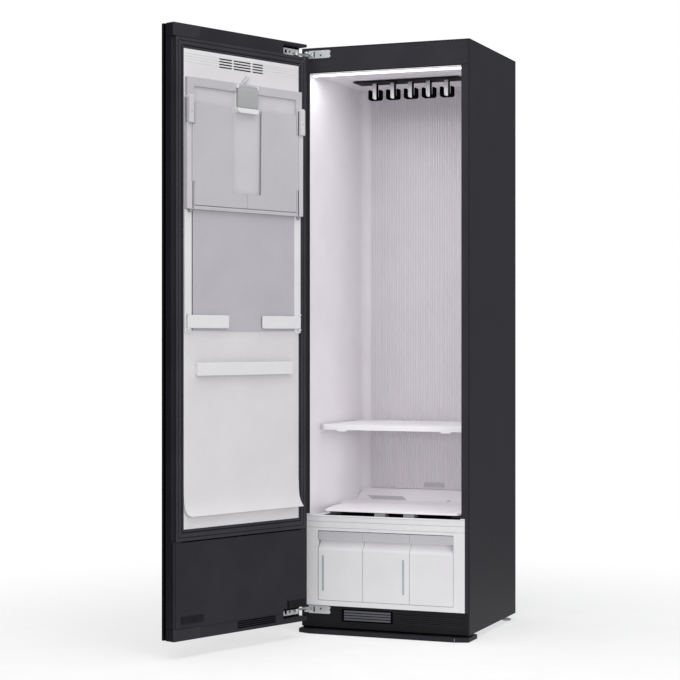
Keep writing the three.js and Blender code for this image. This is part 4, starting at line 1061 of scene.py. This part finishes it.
# The cord loop is left in the frame's darker grey: painted shade that tones down the light falling on it
# from above
press.tube([(MIDDLE + a, n, z) for a, n, z in loop], 4.2)
press.done("door", "white_plastic", "press_frame", matrix=DOOR)

lid = Piece("clip_lid_finished", grey_clip)
LID_NECK = 40.4
lid_rows = []
for z, n, half in (
    (1716.3, 22.4, 44.8), (1717.4, 23.2, 45), (1722, 23.8, 45), (1745, 24.4, 45), (1768, 24.1, 45),
    (1774.6, 23.7, 45), (1775.4, 23.6, LID_NECK), (1781, 22.9, LID_NECK), (1784, 22, LID_NECK),
    (1786.2, 20.2, LID_NECK),
):
    lid_rows.append([
        (MIDDLE - half + 2 * half * t / 12, n - 0.9 * abs(t / 6 - 1) ** 4, z) for t in range(13)
    ])
lid.grid(lid_rows, lambda p: (p[0], 19.4, min(p[2], 1785.4)))
for radius, reach, paint, steps in ((3.6, LID_NECK, None, 20), (1.5, LID_NECK + 2.8, nickel, 14)):
    lid.lathe(rod(radius, MIDDLE - reach, MIDDLE + reach), (0, 19.5, 1783), "x", paint, steps)
lid.done("clip_lid", "grey_plastic", "clip_lid", matrix=DOOR)

leaf_outline = [
    (0.5, 1398), *arc(224, 1401, 3, -90, 0, 3), (227, 1470.4), (238.1, 1470.4), (238.1, 1647.6),
    (227, 1647.6), *arc(222, 1709, 5, 0, 90, 5), *arc(69, 1711, 3, 90, 180, 4), (63, 1451),
    *arc(57, 1449, 6, 0, -90, 5), (0.5, 1443),
]
for side, name in ((-1, "press_leaf_hinge_side"), (1, "press_leaf_free_side")):
    leaf = Piece(name + "_finished", grey_press)
    leaf.prism([(MIDDLE + a, z) for a, z in on_side(leaf_outline, side)], 15, 18.3, rim=0.9)
    place = (MIDDLE + side * 232.5, 15, 0)
    barrel = [(0, 1471), (3.6, 1471), (4.1, 1471.8), (4.1, 1646.2), (3.6, 1647), (0, 1647)]
    leaf.lathe(barrel, place, steps=24)
    leaf.lathe(rod(2.1, 1463, 1655), place, paint=nickel, steps=16)
    leaf.done(name, "grey_plastic", name, matrix=DOOR)

board = Piece("trouser_board_finished", grey_board)
board.prism(rectangle(MIDDLE - 231, MIDDLE + 231, 1010, 1384.6), 3.3, 5.2, rim=0.4)
for side in (-1, 1):
    board.prism(rounded(*across(side, 229.5, 258.5), 1003, 1384.6, 2), 3.3, 6.6, rim=1.0, paint=white_press)
    for z0, z1 in ((1059, 1064.5), (1011.5, 1017)):
        board.box(*across(side, 244.6, 253.4), 6, 14.5, z0, z1, 1, white_press)
# Near-black strip beside the free-side rail: painted shade in the gap
board.box(MIDDLE + 225.4, MIDDLE + 229.5, 4.8, 5.5, 1012, 1382, 0.15, near_black_and_painted_shade)
board.done("door", "white_plastic", "trouser_board", matrix=DOOR)

ARM_FOOT, ARM_HEAD = 1017.6, 1058.4
for side, name in ((-1, "holder_arm_hinge_side"), (1, "holder_arm_free_side")):
    arm = Piece(name + "_finished", white_press)
    pin = MIDDLE + side * 249
    a0, a1 = sorted((pin + side * 3.6, pin - side * 174))
    arm.prism(rounded(a0, a1, ARM_FOOT, ARM_HEAD, 6, 7), 9.4, 13.4, rim=1.2)
    arm.prism(rounded(*across(side, 236, 250), 1018.4, 1057.6, 2, 4), 9.5, 13.8, rim=0.7)
    arm.lathe(rod(2.9, ARM_FOOT, ARM_HEAD), (pin, 11.2, 0), steps=20)
    arm.lathe(rod(1.6, 1014, 1062), (pin, 11.2, 0), paint=nickel, steps=14)
    arm.done(name, "white_plastic", name, matrix=DOOR)

rest = Piece("trouser_rest_bar_finished", white_press)
rest_rows = []
for z, lean in ((870, 0.8), (871, 0.2), (873, 0), (908, 0), (910, 0.2), (911, 0.8)):
    right = [(209, 17 - lean), (212 - lean, 14), (212, 3.3), (209, 3.3), (207, 13.6)]
    left = mirrored(right)
    rest_rows.append([(MIDDLE + a, n, z) for a, n in left[2:] + right + left[:2]])
rest.rings(rest_rows)
rest.done("door", "white_plastic", "trouser_rest_bar", matrix=DOOR)
